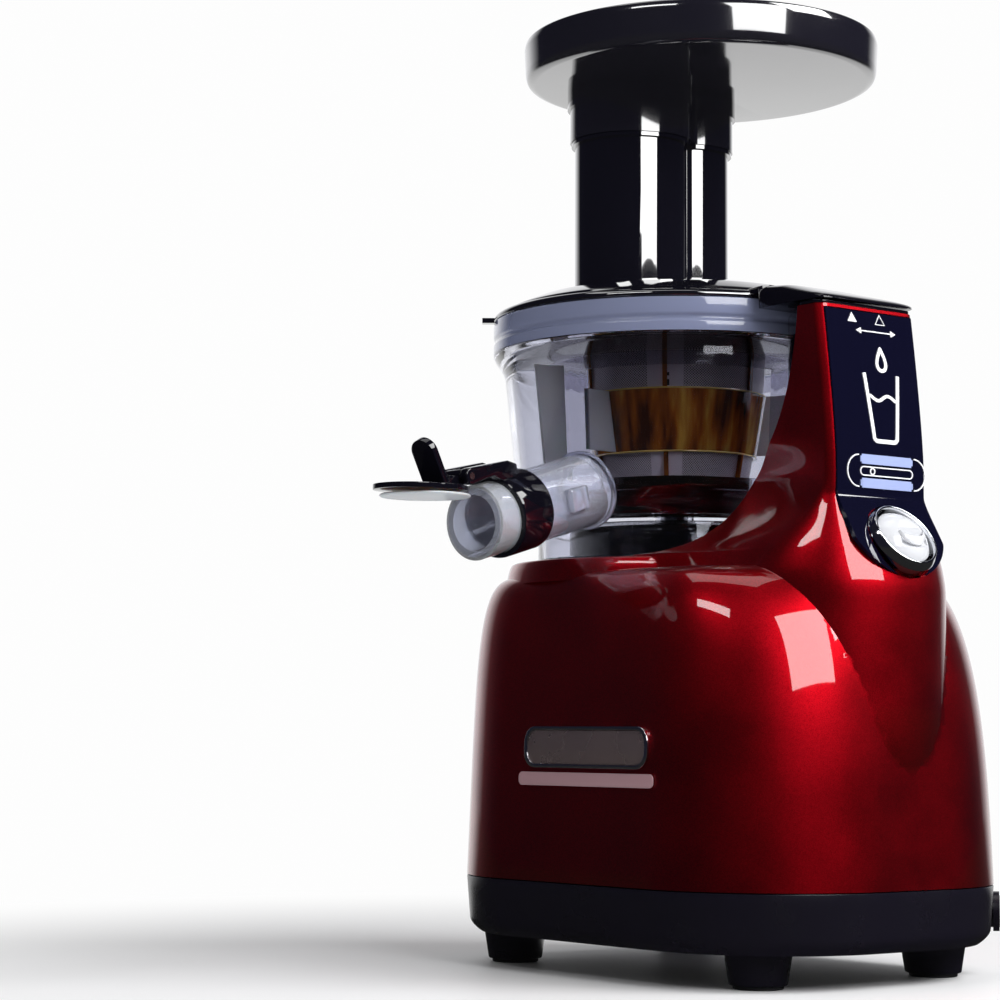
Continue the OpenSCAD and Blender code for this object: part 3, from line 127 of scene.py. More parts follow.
for start, end in (((place, "Object"), (heading, 0)), ((heading, "Vector"), (behind, 0)),
                   ((behind, "Value"), (depth, "Value")),
                   ((depth, "Result"), (sheen, "Strength")), ((path, "Is Glossy Ray"), (either, 0)),
                   ((path, "Is Transmission Ray"), (either, 1)), ((either, 0), (seen, 0)),
                   ((blend, 0), (seen, 1)), ((sheen, 0), (seen, 2)),
                   ((seen, 0), (paper.node_tree.nodes["Material Output"], "Surface"))):
    wire(paper, start, end)
table.data.materials.append(paper)

# The surround seen in gloss: white behind the machine and beside it, dark in front of it.
world = bpy.data.worlds.new("studio")
scene.world = world
world.use_nodes = True
air = world.node_tree
back_light = air.nodes["Background"]
back_light.inputs["Color"].default_value = (1, 1, 1, 1)
back_light.inputs["Strength"].default_value = 0.22
seen_light = air.nodes.new("ShaderNodeBackground")
seen_light.inputs["Color"].default_value = (0.985, 0.985, 0.985, 1)
gloss_light = air.nodes.new("ShaderNodeBackground")
ray = air.nodes.new("ShaderNodeLightPath")
facing = air.nodes.new("ShaderNodeTexCoord")
along = air.nodes.new("ShaderNodeVectorMath")
along.operation = "DOT_PRODUCT"
along.inputs[1].default_value = back_way
shade, through_shade = air.nodes.new("ShaderNodeValToRGB"), air.nodes.new("ShaderNodeValToRGB")
for ramp, dark_end, white_end in ((shade, 0.84, 0.94), (through_shade, 0.40, 0.60)):
    ramp.color_ramp.elements[0].position = dark_end
    ramp.color_ramp.elements[0].color = (0.012, 0.012, 0.02, 1)
    ramp.color_ramp.elements[1].position = white_end
    ramp.color_ramp.elements[1].color = (0.95, 0.95, 0.97, 1)
through_light = air.nodes.new("ShaderNodeBackground")
spread = air.nodes.new("ShaderNodeMapRange")
spread.inputs["From Min"].default_value = -1
gloss_mix = air.nodes.new("ShaderNodeMixShader")
seen_mix = air.nodes.new("ShaderNodeMixShader")
clear_mix = air.nodes.new("ShaderNodeMixShader")
for start, end in (((facing, "Generated"), (along, 0)), ((along, "Value"), (spread, "Value")),
                   ((spread, "Result"), (shade, "Fac")), ((shade, "Color"), (gloss_light, "Color")),
                   ((ray, "Is Glossy Ray"), (gloss_mix, 0)), ((back_light, 0), (gloss_mix, 1)),
                   ((gloss_light, 0), (gloss_mix, 2)), ((ray, "Is Transmission Ray"), (clear_mix, 0)),
                   ((gloss_mix, 0), (clear_mix, 1)), ((through_light, 0), (clear_mix, 2)),
                   ((spread, "Result"), (through_shade, "Fac")),
                   ((through_shade, "Color"), (through_light, "Color")),
                   ((ray, "Is Camera Ray"), (seen_mix, 0)), ((clear_mix, 0), (seen_mix, 1)),
                   ((seen_light, 0), (seen_mix, 2)), ((seen_mix, 0), (air.nodes["World Output"], "Surface"))):
    wire(world, start, end)

# Softboxes: a broad one at the right of the camera, one on the panel's side, and a long one on the left.
for name, spot, aim, wide, tall, power in (
        ("softbox_right", (1.075, -0.10, 0.79), (0.02, -0.02, 0.17), 0.74, 0.60, 9.5),
        ("softbox_back", (0.75, 0.50, 0.95), (0.02, 0.0, 0.17), 0.60, 0.60, 12),
        ("softbox_left", (0.27, -0.88, 0.92), (-0.02, 0.0, 0.17), 0.50, 0.12, 1.4),
        ("softbox_top", (-0.15, -0.1, 1.5), (0, 0, 0.2), 0.9, 0.9, 3.5)):
    lamp = bpy.data.lights.new(name, "AREA")
    lamp.shape = "RECTANGLE"
    lamp.size, lamp.size_y, lamp.energy = wide, tall, power
    holder = bpy.data.objects.new(name, lamp)
    holder.location = spot
    holder.rotation_mode = "QUATERNION"
    holder.rotation_quaternion = (Vector(aim) - Vector(spot)).to_track_quat("-Z", "Y")
    scene.collection.objects.link(holder)

# The red housing: one lacquered moulding with a soft shoulder, a column that sweeps down round the bowl,
# and a round plinth under the bowl. It is bolted to the pan from below.
MM = 0.001
body_len, body_wid, corner_r, body_shift = 224, 168, 65, 3
seam_z, deck_z, body_taper, seam_gap = 38, 166, 5, 0.25
half_l, half_w = body_len / 2, body_wid / 2
bowl_x, ring_r, skirt_r = -28, 71.5, 59.5
plinth_top, col_top = deck_z + 5.8, 270.5
edge_r, edge_rise, edge_foot, edge_start = 79, 30, 0.4, 17
edge_top = plinth_top + edge_rise
back_low = body_shift + half_l - 0.6
back_mid, col_wid, col_low_r = back_low - 17, 54, 45.5
flare_low, flare_top = deck_z - 12, deck_z + 28


def ease(t):
    """Smooth step from 0 to 1."""
    u = np.clip(t, 0, 1)
    return u * u * (3 - 2 * u)


def mix(a, b, t):
    """Value between a and b."""
    return a + (b - a) * t


def body_outline(step, sides, ends):
    """Points round the base, each with its outward direction."""
    points = []
    corners = ((1, 1, 0), (-1, 1, 90), (-1, -1, 180), (1, -1, 270))
    flat_l, flat_w = half_l - corner_r, half_w - corner_r
    runs = (sides, ends, sides, ends)
    for (sx, sy, turn), (ex, ey, _), parts in zip(corners, corners[1:] + corners[:1], runs):
        for a in np.radians(np.linspace(turn, turn + 90, round(90 / step) + 1)):
            points.append((body_shift + sx * flat_l, sy * flat_w, math.cos(a), math.sin(a)))
        end = np.radians(turn + 90)
        for t in np.linspace(0, 1, parts + 1)[1:-1]:
            points.append((body_shift + mix(sx, ex, t) * flat_l, mix(sy, ey, t) * flat_w,
                           math.cos(end), math.sin(end)))
    return np.array(points)


def new_piece(name, vertices, faces, sharp=32):
    """A mesh piece from points in millimetres, smooth but for edges sharper than the angle."""
    mesh = bpy.data.meshes.new(name)
    mesh.from_pydata([tuple(float(c) * MM for c in v) for v in vertices], [], faces)
    mesh.validate()
    mesh.shade_smooth()
    mesh.set_sharp_from_angle(angle=math.radians(sharp))
    piece = bpy.data.objects.new(name, mesh)
    scene.collection.objects.link(piece)
    return piece


def lofted(name, rings, sharp=32):
    """A closed solid through rings of equally many points."""
    count = len(rings[0])
    vertices = [p for ring in rings for p in ring]
    faces = [tuple(range(count - 1, -1, -1)), tuple((len(rings) - 1) * count + i for i in range(count))]
    for k in range(len(rings) - 1):
        for i in range(count):
            j = (i + 1) % count
            faces.append((k * count + i, k * count + j, (k + 1) * count + j, (k + 1) * count + i))
    return new_piece(name, vertices, faces, sharp)


def settled(piece, sharp=32):
    """Turns a piece's modifiers into its plain mesh."""
    plain = bpy.data.meshes.new_from_object(piece.evaluated_get(bpy.context.evaluated_depsgraph_get()))
    piece.modifiers.clear()
    piece.data = plain
    plain.name = piece.name
    plain.shade_smooth()
    plain.set_sharp_from_angle(angle=math.radians(sharp))
    return piece


def joined(piece, tool, how):
    """Unites, cuts or keeps the part of a piece that the tool shape reaches, and drops the tool."""
    change = piece.modifiers.new(how.lower(), "BOOLEAN")
    change.operation = how
    change.solver = "EXACT"
    change.object = tool
    settled(piece)
    bpy.data.objects.remove(tool)
    return piece


outline = body_outline(3, 24, 8)
soft_back = ease((outline[:, 0] + outline[:, 2] * corner_r - 15) / (half_l - 20))
shoulder_w, shoulder_n = mix(26, 38, soft_back), mix(5.5, 3, soft_back)
hump_rings = []
for f in np.radians(np.linspace(0, 90, 49)):
    high = math.sin(f) ** (2 / shoulder_n)
    inset = body_taper * high + shoulder_w * (1 - max(math.cos(f), 0) ** (2 / shoulder_n))
    hump_rings.append(np.column_stack([outline[:, 0] + outline[:, 2] * (corner_r - inset),
                                       outline[:, 1] + outline[:, 3] * (corner_r - inset),
                                       seam_z + seam_gap + (deck_z - seam_z - seam_gap) * high]))
housing = lofted("housing_shell", hump_rings)


def flare(z):
    """How far the column has widened at a height, from 0 above the switch to 1 at the shoulder."""
    return ease((flare_top + 6 - z) / 40)


def back_x(z):
    """The column's back face."""
    if z > flare_top:
        return back_mid - 6.5 * (max(0, z - flare_top - 14) / 62) ** 1.3
    spread_out = math.sin(math.radians(90 * min(1, (flare_top - z) / (flare_top - flare_low)))) ** 1.25
    return mix(back_mid, back_low, spread_out) - 5 * ease((deck_z - 56 - z) / 60)


def edge_angle(z):
    """Half angle of the red edge round the bowl."""
    fall = math.log(edge_rise / max(edge_foot, min(edge_rise, z - plinth_top)))
    return edge_start + fall * (12.2 - 0.75 * fall)


def front_point(z, s):
    """A point of the column's front, s from 1 to -1 across."""
    if z >= edge_top:
        x = bowl_x + edge_r * math.cos(math.radians(edge_start)) + 33 * (1 - math.exp((edge_top - z) / 28))
        return x + 4 * (1 - s * s), s * mix(edge_r * math.sin(math.radians(edge_start)), col_wid / 2,
                                            ease((z - edge_top) / 16))
    share = ease((edge_angle(z) - edge_start) / (edge_angle(0) - edge_start))
    r = mix(edge_r, ring_r - 3.4, share) - min(30, 1.5 * max(0, deck_z - 1 - z))
    a = math.radians(edge_angle(z)) * s
    return bowl_x + r * math.cos(a), r * math.sin(a)


def column_ring(z, arc=24, front=48, side=28):
    """The column's plan outline at a height."""
    r = mix(5, col_low_r - 1, flare(z))
    w = mix(col_wid / 2, col_low_r, flare(z))
    x, y = back_x(z) - r, w - r
    face = [front_point(z, 1 - 2 * i / front) for i in range(front + 1)]
    pull = flare(z) * 0.85
    k = min(x, mix((x + face[0][0]) / 2, 42, pull))
    low = mix((w + face[0][1]) / 2, w + 2, pull)
    turn = [math.radians(90 * i / arc) for i in range(arc + 1)]
    points = [(x + r * math.cos(a - math.pi / 2), -y + r * math.sin(a - math.pi / 2)) for a in turn]
    points += [(x + r * math.cos(a), y + r * math.sin(a)) for a in turn]
    steps = [i / side for i in range(1, side)]
    points += [tuple(p * (1 - t) ** 2 + c * 2 * t * (1 - t) + q * t * t
                     for p, c, q in ((x, k, face[0][0]), (w, low, face[0][1]))) for t in steps]
    points += face
    points += [tuple(p * (1 - t) ** 2 + c * 2 * t * (1 - t) + q * t * t
                     for p, c, q in ((face[-1][0], k, x), (face[-1][1], -low, -w))) for t in steps]
    return [(px, py, z) for px, py in points]


heights = list(np.linspace(seam_z + 24, deck_z - 1, 34))
heights += [plinth_top + edge_foot + (edge_rise - edge_foot) * (t / 40) ** 1.5 for t in range(41)]
heights += list(np.linspace(edge_top + 1.5, col_top - 0.8, 44)) + [col_top]
column = lofted("column", [column_ring(z) for z in heights])
joined(housing, column, "UNION")


def rounded(points, radius, steps=3):
    """A closed profile with its corners eased by short curves; points on the axis stay."""
    result = []
    for i, here in enumerate(points):
        a, b, c = (np.array(p, float) for p in (points[i - 1], here, points[(i + 1) % len(points)]))
        if b[0] < 0.01:
            result.append(tuple(b))
            continue
        before, after = np.linalg.norm(a - b), np.linalg.norm(c - b)
        reach = min(radius, before * 0.45, after * 0.45)
        p, q = b + (a - b) / before * reach, b + (c - b) / after * reach
        result += [tuple(p * (1 - t) ** 2 + b * 2 * t * (1 - t) + q * t * t)
                   for t in np.linspace(0, 1, steps + 1)]
    return result


def faced_out(piece, merge=0.0):
    """Merges doubles closer than a distance in metres, if given, and turns all faces outwards."""
    shape = bmesh.new()
    shape.from_mesh(piece.data)
    if merge:
        bmesh.ops.remove_doubles(shape, verts=shape.verts, dist=merge)
    bmesh.ops.recalc_face_normals(shape, faces=shape.faces)
    shape.to_mesh(piece.data)
    shape.free()
    return piece


def turned(name, profile, middle=(bowl_x, 0), parts=128, sharp=32):
    """A turned solid from a closed profile of (radius, height) points, about an upright axis."""
    vertices, faces = [], []
    for a in np.linspace(0, 2 * math.pi, parts, endpoint=False):
        vertices += [(middle[0] + r * math.cos(a), middle[1] + r * math.sin(a), z) for r, z in profile]
    n = len(profile)
    for k in range(parts):
        for i in range(n):
            j = (i + 1) % n
            q = (k + 1) % parts
            faces.append((k * n + i, q * n + i, q * n + j, k * n + j))
    return faced_out(new_piece(name, vertices, faces, sharp), 1e-6)


ring_profile = [(40, deck_z - 4), (ring_r + 2, deck_z - 4), (ring_r + 1.1, deck_z + 1),
                (ring_r + 0.5, deck_z + 3.4)]
ring_profile += [(ring_r - 1.6 + 1.7 * math.cos(a), plinth_top - 1.9 + 1.7 * math.sin(a))
                 for a in np.radians(np.linspace(10, 90, 6))]
ring_profile += [(skirt_r + 4, plinth_top - 0.2), (skirt_r + 3.5, plinth_top - 0.6),
                 (skirt_r + 3.5, deck_z - 0.2), (40, deck_z - 0.2)]
joined(housing, turned("plinth", ring_profile, parts=144), "UNION")

panel_wid, panel_t, panel_foot, panel_bow = 49, 2.2, deck_z - 5.5, 28
panel_top = col_top - 1.6


def panel_slab(name, grow, inner, outer, rows=90, across=12):
    """A slab that follows the column's back face, straight sided with a bowed foot."""
    rings = []
    for z in np.linspace(panel_foot - grow + 0.05, panel_top + grow, rows):
        bow = panel_bow + grow
        lift = bow - (z - panel_foot + grow)
        w = panel_wid / 2 + grow
        if lift > 0:
            w = min(w, math.sqrt(max(bow * bow - lift * lift, 0.5)))
        ys = np.linspace(-w, w, across + 1)
        rings.append([(back_x(z) - outer, y, z) for y in ys] + [(back_x(z) - inner, y, z) for y in ys[::-1]])
    return lofted(name, rings)


joined(housing, panel_slab("panel_seat", 0.35, panel_t + 0.4, -6), "DIFFERENCE")

switch_z, switch_tilt = deck_z + 9.5, math.radians(36)
switch_at = Vector((back_x(switch_z), 0, switch_z))
switch_out = Vector((math.cos(switch_tilt), 0, math.sin(switch_tilt)))
switch_up = Vector((math.sin(switch_tilt), 0, -math.cos(switch_tilt)))
rocker_r, rocker_gap, bezel_w = 12.4, 1.2, 2.6
bezel_r = rocker_r + rocker_gap + bezel_w


def on_switch(x, y, z):
    """A point in the switch's own frame, z out of the panel."""
    return switch_at + switch_up * x + Vector((0, 1, 0)) * y + switch_out * z


def carried(piece, place):
    """Moves a piece's points, in millimetres, by a placing function."""
    for v in piece.data.vertices:
        v.co = place(v.co.x / MM, v.co.y / MM, v.co.z / MM) * MM
    return faced_out(piece)


def on_switch_turned(name, profile, parts=96):
    """A turned solid on the switch's own axis."""
    return carried(turned(name, profile, (0, 0), parts), on_switch)


def rod(radius, low, high):
    """The profile of a plain round bar, from the axis outwards."""
    return [(0, low), (radius, low), (radius, high), (0, high)]


joined(housing, on_switch_turned("switch_hole", rod(bezel_r - 0.8, -22, 20)), "DIFFERENCE")


def noise_group():
    """Moulded surface: a fine grain in the normal and a slow wander of the roughness."""
    group = bpy.data.node_groups.new("moulded_surface", "ShaderNodeTree")
    for label, value in (("Grain Scale", 900), ("Grain Depth", 0.05), ("Roughness Low", 0.1),
                         ("Roughness High", 0.2)):
        group.interface.new_socket(label, in_out="INPUT", socket_type="NodeSocketFloat").default_value = value
    group.interface.new_socket("Roughness", in_out="OUTPUT", socket_type="NodeSocketFloat")
    group.interface.new_socket("Normal", in_out="OUTPUT", socket_type="NodeSocketVector")
    g_in, g_out = group.nodes.new("NodeGroupInput"), group.nodes.new("NodeGroupOutput")
    where = group.nodes.new("ShaderNodeTexCoord")
    grain = group.nodes.new("ShaderNodeTexNoise")
    grain.inputs["Detail"].default_value = 3
    slow = group.nodes.new("ShaderNodeTexNoise")
    slow.inputs["Scale"].default_value = 38
    slow.inputs["Detail"].default_value = 4
    span = group.nodes.new("ShaderNodeMapRange")
    span.inputs["From Min"].default_value = 0.35
    span.inputs["From Max"].default_value = 0.65
    bump = group.nodes.new("ShaderNodeBump")
    bump.inputs["Distance"].default_value = 0.0004
    link = group.links.new
    link(where.outputs["Object"], grain.inputs["Vector"])
    link(where.outputs["Object"], slow.inputs["Vector"])
    link(g_in.outputs["Grain Scale"], grain.inputs["Scale"])
    link(g_in.outputs["Grain Depth"], bump.inputs["Strength"])
    link(grain.outputs["Fac"], bump.inputs["Height"])
    link(slow.outputs["Fac"], span.inputs["Value"])
    link(g_in.outputs["Roughness Low"], span.inputs["To Min"])
    link(g_in.outputs["Roughness High"], span.inputs["To Max"])
    link(span.outputs["Result"], g_out.inputs["Roughness"])
    link(bump.outputs["Normal"], g_out.inputs["Normal"])
    return group


moulded_surface = noise_group()


def finish_of(name, colour, rough=(0.1, 0.2), grain=(900, 0.05), **sockets):
    """A material on the moulded surface group; other sockets of the shader by name."""
    material = bpy.data.materials.new(name)
    material.use_nodes = True
    shader = material.node_tree.nodes["Principled BSDF"]
    shader.inputs["Base Color"].default_value = (*colour, 1)
    skin = material.node_tree.nodes.new("ShaderNodeGroup")
    skin.node_tree = moulded_surface
    skin.name = "surface"
    for label, value in zip(("Roughness Low", "Roughness High", "Grain Scale", "Grain Depth"), rough + grain):
        skin.inputs[label].default_value = value
    wire(material, (skin, "Roughness"), (shader, "Roughness"))
    wire(material, (skin, "Normal"), (shader, "Normal"))
    for label, value in sockets.items():
        shader.inputs[label.replace("_", " ")].default_value = value
    return material


red_paint = finish_of("red_lacquer", (0.34, 0.002, 0.008), (0.36, 0.44), (2600, 0.03), Metallic=1.0,
                      Coat_Weight=1.0, Coat_Roughness=0.03, Coat_IOR=1.62)
tree = red_paint.node_tree
flake = tree.nodes.new("ShaderNodeTexVoronoi")
flake.inputs["Scale"].default_value = 3400
flake_spot = tree.nodes.new("ShaderNodeTexCoord")
flake_tone = tree.nodes.new("ShaderNodeValToRGB")
flake_tone.color_ramp.elements[0].color = (0.26, 0.0008, 0.004, 1)
flake_tone.color_ramp.elements[1].color = (0.46, 0.003, 0.009, 1)
flake_split = tree.nodes.new("ShaderNodeSeparateColor")
wire(red_paint, (flake_spot, "Object"), (flake, "Vector"))
wire(red_paint, (flake, "Color"), (flake_split, "Color"))
wire(red_paint, (flake_split, "Red"), (flake_tone, "Fac"))
wire(red_paint, (flake_tone, "Color"), (tree.nodes["Principled BSDF"], "Base Color"))
housing.data.materials.clear()
housing.data.materials.append(red_paint)
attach(housing, "base")
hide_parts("housing")

# The base pan: a satin black tray that closes the housing from below, with its rim rounded at the seam.
foot_h, pan_draft = 14, 7
pan_rings = []
for t in np.linspace(0, 1, 13):
    inset = pan_draft * (1 - t) ** 1.8 * 0.7 + 1.4
    pan_rings.append((mix(foot_h, foot_h + 6, t), inset))
pan_rings += [(mix(foot_h + 6, seam_z - 0.8, t), mix(1.4, 0.1, t)) for t in (0.25, 0.5, 0.75, 1)]
pan_rings += [(seam_z - 0.25, 0.25), (seam_z, 0.8)]
pan = lofted("base_tray", [np.column_stack([outline[:, 0] + outline[:, 2] * (corner_r - d),
                                            outline[:, 1] + outline[:, 3] * (corner_r - d),
                                            np.full(len(outline), z)]) for z, d in pan_rings])
black_satin = finish_of("satin_black_moulding", (0.006, 0.005, 0.010), (0.2, 0.3), (1500, 0.06))
pan.data.materials.append(black_satin)
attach(pan, "base")
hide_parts("base_pan")


def eased(node, radius, material, name=None, segments=3, sharp=35, fold=30):
    """A solid of the machine with its moulded edges rounded over, in its own finish."""
    shape = bmesh.new()
    shape.from_mesh(frame["nodes"][node].data)
    bmesh.ops.remove_doubles(shape, verts=shape.verts, dist=2e-6)
    bmesh.ops.dissolve_limit(shape, angle_limit=math.radians(0.3), verts=shape.verts, edges=shape.edges)
    mesh = bpy.data.meshes.new(name or node + "_part")
    shape.to_mesh(mesh)
    shape.free()
    piece = bpy.data.objects.new(mesh.name, mesh)
    scene.collection.objects.link(piece)
    if radius:
        bevel = piece.modifiers.new("edges", "BEVEL")
        bevel.width = radius * MM
        bevel.segments = segments
        bevel.limit_method = "ANGLE"
        bevel.angle_limit = math.radians(fold)
        bevel.miter_outer = "MITER_ARC"
    settled(piece, sharp)
    return dressed(piece, node, material)


def dressed(piece, node, material):
    """Gives a piece its finish and lets it stand for a solid of the machine."""
    piece.data.materials.clear()
    piece.data.materials.append(material)
    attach(piece, frame["nodes"][node]["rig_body"])
    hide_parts(node)
    return piece


# Feet: black mouldings with rubber pads, each held by one screw from below.
soft_rubber = finish_of("foot_rubber", (0.012, 0.012, 0.014), (0.62, 0.8), (1300, 0.25))
eased("feet", 0.8, black_satin)
eased("foot_pads", 0.6, soft_rubber)

# The black column trim: a cap on top and a liner that faces the bowl, both clipped to the red column.
black_gloss = finish_of("gloss_black_moulding", (0.0035, 0.0032, 0.006), (0.03, 0.07), (240, 0.012))
eased("column_cap", 0.4, black_gloss)
eased("column_liner", 0.6, black_gloss)

# The control panel: a piano black plate let into the column's back, drilled for the switch.
panel_gloss = finish_of("piano_black_panel", (0.003, 0.003, 0.012), (0.02, 0.04), (240, 0.006), Coat_Weight=0.6)
panel = panel_slab("control_panel_plate", 0, panel_t + 0.3, 0.2)
joined(panel, on_switch_turned("panel_hole", rod(bezel_r + 0.15, -22, 20)), "DIFFERENCE")
dressed(panel, "control_panel", panel_gloss)

# Marks printed on the panel: lock triangles with an arrow, a juice glass with a drop, and the switch's three
# positions. Each mark is a thin raised line of white or pale blue ink.
ink_depth = 0.12
print_white = finish_of("white_print", (0.82, 0.82, 0.84), (0.35, 0.45), (700, 0.02))
print_blue = finish_of("pale_blue_print", (0.30, 0.36, 0.62), (0.35, 0.45), (700, 0.02))


def stroke(points, width, closed=False):
    """A raised line along (across, height) points of the panel, as rings of four points."""
    line = np.array(points, float)
    ahead, behind = np.roll(line, -1, 0), np.roll(line, 1, 0)
    if not closed:
        ahead[-1], behind[0] = line[-1], line[0]
    run = ahead - behind
    run /= np.linalg.norm(run, axis=1)[:, None]
    side = np.column_stack([-run[:, 1], run[:, 0]]) * width / 2
    rings = []
    for (y, z), (dy, dz) in zip(line, side):
        left, right = (y + dy, z + dz), (y - dy, z - dz)
        rings.append([(back_x(q[1]) + depth, q[0], q[1]) for q, depth in
                      ((left, ink_depth), (left, -0.3), (right, -0.3), (right, ink_depth))])
    return rings, closed


def arc_points(middle, radius, start, end, count=16, squash=1.0):
    """Points on an arc, angles in degrees."""
    return [(middle[0] + radius * math.cos(a), middle[1] + radius * squash * math.sin(a))
            for a in np.radians(np.linspace(start, end, count))]


def printed(name, strokes, ink):
    """One piece from several raised lines."""
    vertices, faces = [], []
    for rings, closed in strokes:
        base, count = len(vertices), len(rings)
        vertices += [p for ring in rings for p in ring]
        for k in range(count if closed else count - 1):
            for i in range(4):
                j, q = (i + 1) % 4, (k + 1) % count
                faces.append((base + k * 4 + i, base + k * 4 + j, base + q * 4 + j, base + q * 4 + i))
        if not closed:
            faces += [(base + 3, base + 2, base + 1, base), tuple(base + (count - 1) * 4 + i for i in range(4))]
    piece = faced_out(new_piece(name, vertices, faces, 30))
    piece.data.materials.append(ink)
    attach(piece, "base")
    return piece


lock_z, lock_y, arrow_z = 264.6, (-10.2, 5.6), 260.9
glass_y, glass_low, glass_high = 3.2, 217.5, 243.5
pill_y, pill_len, pill_h, pill_zs = 3, 30, 3.9, (208.2, 203.4, 198.6)
full_lock = [stroke([(lock_y[0], lock_z + 3.4 - 0.55 * i), (lock_y[0], lock_z + 3.4 - 0.55 * (i + 1))],
                    0.72 * i + 0.4) for i in range(7)]
open_lock = [stroke([(lock_y[1], lock_z + 3.6), (lock_y[1] - 2.6, lock_z - 0.4),
                     (lock_y[1] + 2.6, lock_z - 0.4)], 0.5, True)]
arrow = [stroke([(-6.2, arrow_z), (11.6, arrow_z)], 0.45)]
for tip, way in ((-8.4, 1), (13.8, -1)):
    arrow += [stroke([(tip + way * 0.45 * i, arrow_z), (tip + way * 0.45 * (i + 1), arrow_z)], 0.3 + 0.42 * i)
              for i in range(6)]
printed("lock_marks", full_lock + open_lock + arrow, print_white)
side_run = [(t, glass_high - t * (glass_high - glass_low)) for t in np.linspace(0, 1, 9)]
glass = [(glass_y - 9.5 + 3 * t, z) for t, z in side_run]
glass += arc_points((glass_y - 4.5, glass_low + 0.6), 2.2, 200, 270, 6)
glass += [(2 * glass_y - y, z) for y, z in glass[::-1]]
wave_z, wave_h, wave_half = 233.6, 1.1, 7.4
wave = [(y, wave_z + wave_h * math.sin((y - glass_y) * 0.55))
        for y in np.linspace(glass_y - wave_half, glass_y + wave_half, 21)]
drop = [(glass_y + 0.9 + 3.5 * math.sin(a) * math.sin(a / 2) ** 1.4, 249.6 + 4.6 * math.cos(a))
        for a in np.linspace(0, 2 * math.pi, 33)[:-1]]
printed("glass_mark", [stroke(glass, 1.7), stroke(wave, 1.3), stroke(drop, 1.5, True)], print_white)
pill_half = pill_len / 2
full_pills = [stroke([(pill_y - pill_half + 1, z), (pill_y + pill_half - 1, z)], pill_h) for z in pill_zs[::2]]
full_pills += [stroke([(pill_y + s * (pill_half - 1.1), z), (pill_y + s * (pill_half - 0.2), z)], pill_h - 1.5)
               for z in pill_zs[::2] for s in (-1, 1)]
printed("position_pills", full_pills, print_blue)
middle_pill = []
for s in (-1, 1):
    pill_end = (pill_y + s * (pill_half - pill_h / 2), pill_zs[1])
    middle_pill += arc_points(pill_end, pill_h / 2 - 0.25, -90 * s, 180 - 90 * s, 10)
zero = arc_points((pill_y - 8, pill_zs[1]), 1.2, 0, 337, 16)
loops = [stroke(arc_points((pill_y + s * (pill_half + 0.6), pill_zs[1]), 6.4, 90, 90 - s * 180, 24), 0.5)
         for s in (-1, 1)]
printed("position_lines", [stroke(middle_pill, 0.45, True), stroke(zero, 0.5, True)] + loops, print_white)

# The switch: a chrome ring pressed into the panel, the black switch body behind it, and a white rocker
# with a raised crescent that turns on its pin.
chrome = finish_of("bright_chrome", (0.72, 0.73, 0.76), (0.05, 0.09), (300, 0.01), Metallic=1.0)
white_gloss = finish_of("white_moulding", (0.62, 0.63, 0.66), (0.1, 0.16), (400, 0.01), Coat_Weight=0.4)
bezel_h, pin_drop = 4, -8.2
bezel = on_switch_turned("switch_ring", rounded(
    [(bezel_r - 1.1, -5.5), (bezel_r - 1.1, 0.3), (bezel_r, 0.3), (bezel_r - 0.4, 1.6),
     (bezel_r - 1.6, bezel_h), (rocker_r + rocker_gap + 0.3, bezel_h), (rocker_r + rocker_gap, bezel_h - 1),
     (rocker_r + rocker_gap, -5.5)], 0.5))
dressed(bezel, "switch_bezel", chrome)
eased("switch_body", 0, black_satin)
eased("rocker", 0.7, white_gloss, segments=4)
dome_r = math.sqrt(rocker_r ** 2 + (pin_drop - bezel_h + 2) ** 2)
crescent, crescent_faces, crescent_parts, crest_r = [], [], 28, 7.2
for i in range(crescent_parts + 1):
    a = math.radians(mix(-72, 72, i / crescent_parts))
    half = 0.15 + 1.5 * math.cos(a * 1.2)
    for r, lift in ((crest_r - half, -0.3), (crest_r - half, 0.25), (crest_r, 0.75), (crest_r + half, 0.25),
                    (crest_r + half, -0.3)):
        x, y = r * math.cos(a) - 1.5, r * math.sin(a)
        z = pin_drop + math.sqrt(dome_r ** 2 - x * x - y * y) + lift
        crescent.append(on_switch(x, y, z))
for i in range(crescent_parts):
    for k in range(5):
        j = (k + 1) % 5
        crescent_faces.append((i * 5 + k, i * 5 + j, (i + 1) * 5 + j, (i + 1) * 5 + k))
crescent_faces += [(4, 3, 2, 1, 0), tuple(crescent_parts * 5 + k for k in range(5))]
ridge = new_piece("rocker_crescent", crescent, crescent_faces, 50)
ridge.data.materials.append(white_gloss)
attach(ridge, "rocker")

# The badge: chrome frame, blank satin plate and a blank pale strip below it, all glued into a shallow seat.
silver_plate = finish_of("badge_satin_silver", (0.52, 0.40, 0.40), (0.22, 0.34), (700, 0.03), Metallic=0.9)
pale_print = finish_of("badge_pale_strip", (0.50, 0.30, 0.33), (0.3, 0.4), (700, 0.02), Metallic=0.3)
eased("badge_frame", 0.35, chrome)
eased("badge_plate", 0.3, silver_plate)
eased("badge_strip", 0.12, pale_print)

# The bowl's seat on the deck, with the seal round the drive shaft.
eased("bowl_seat", 0.8, black_gloss)
eased("shaft_seal", 0.2, soft_rubber)

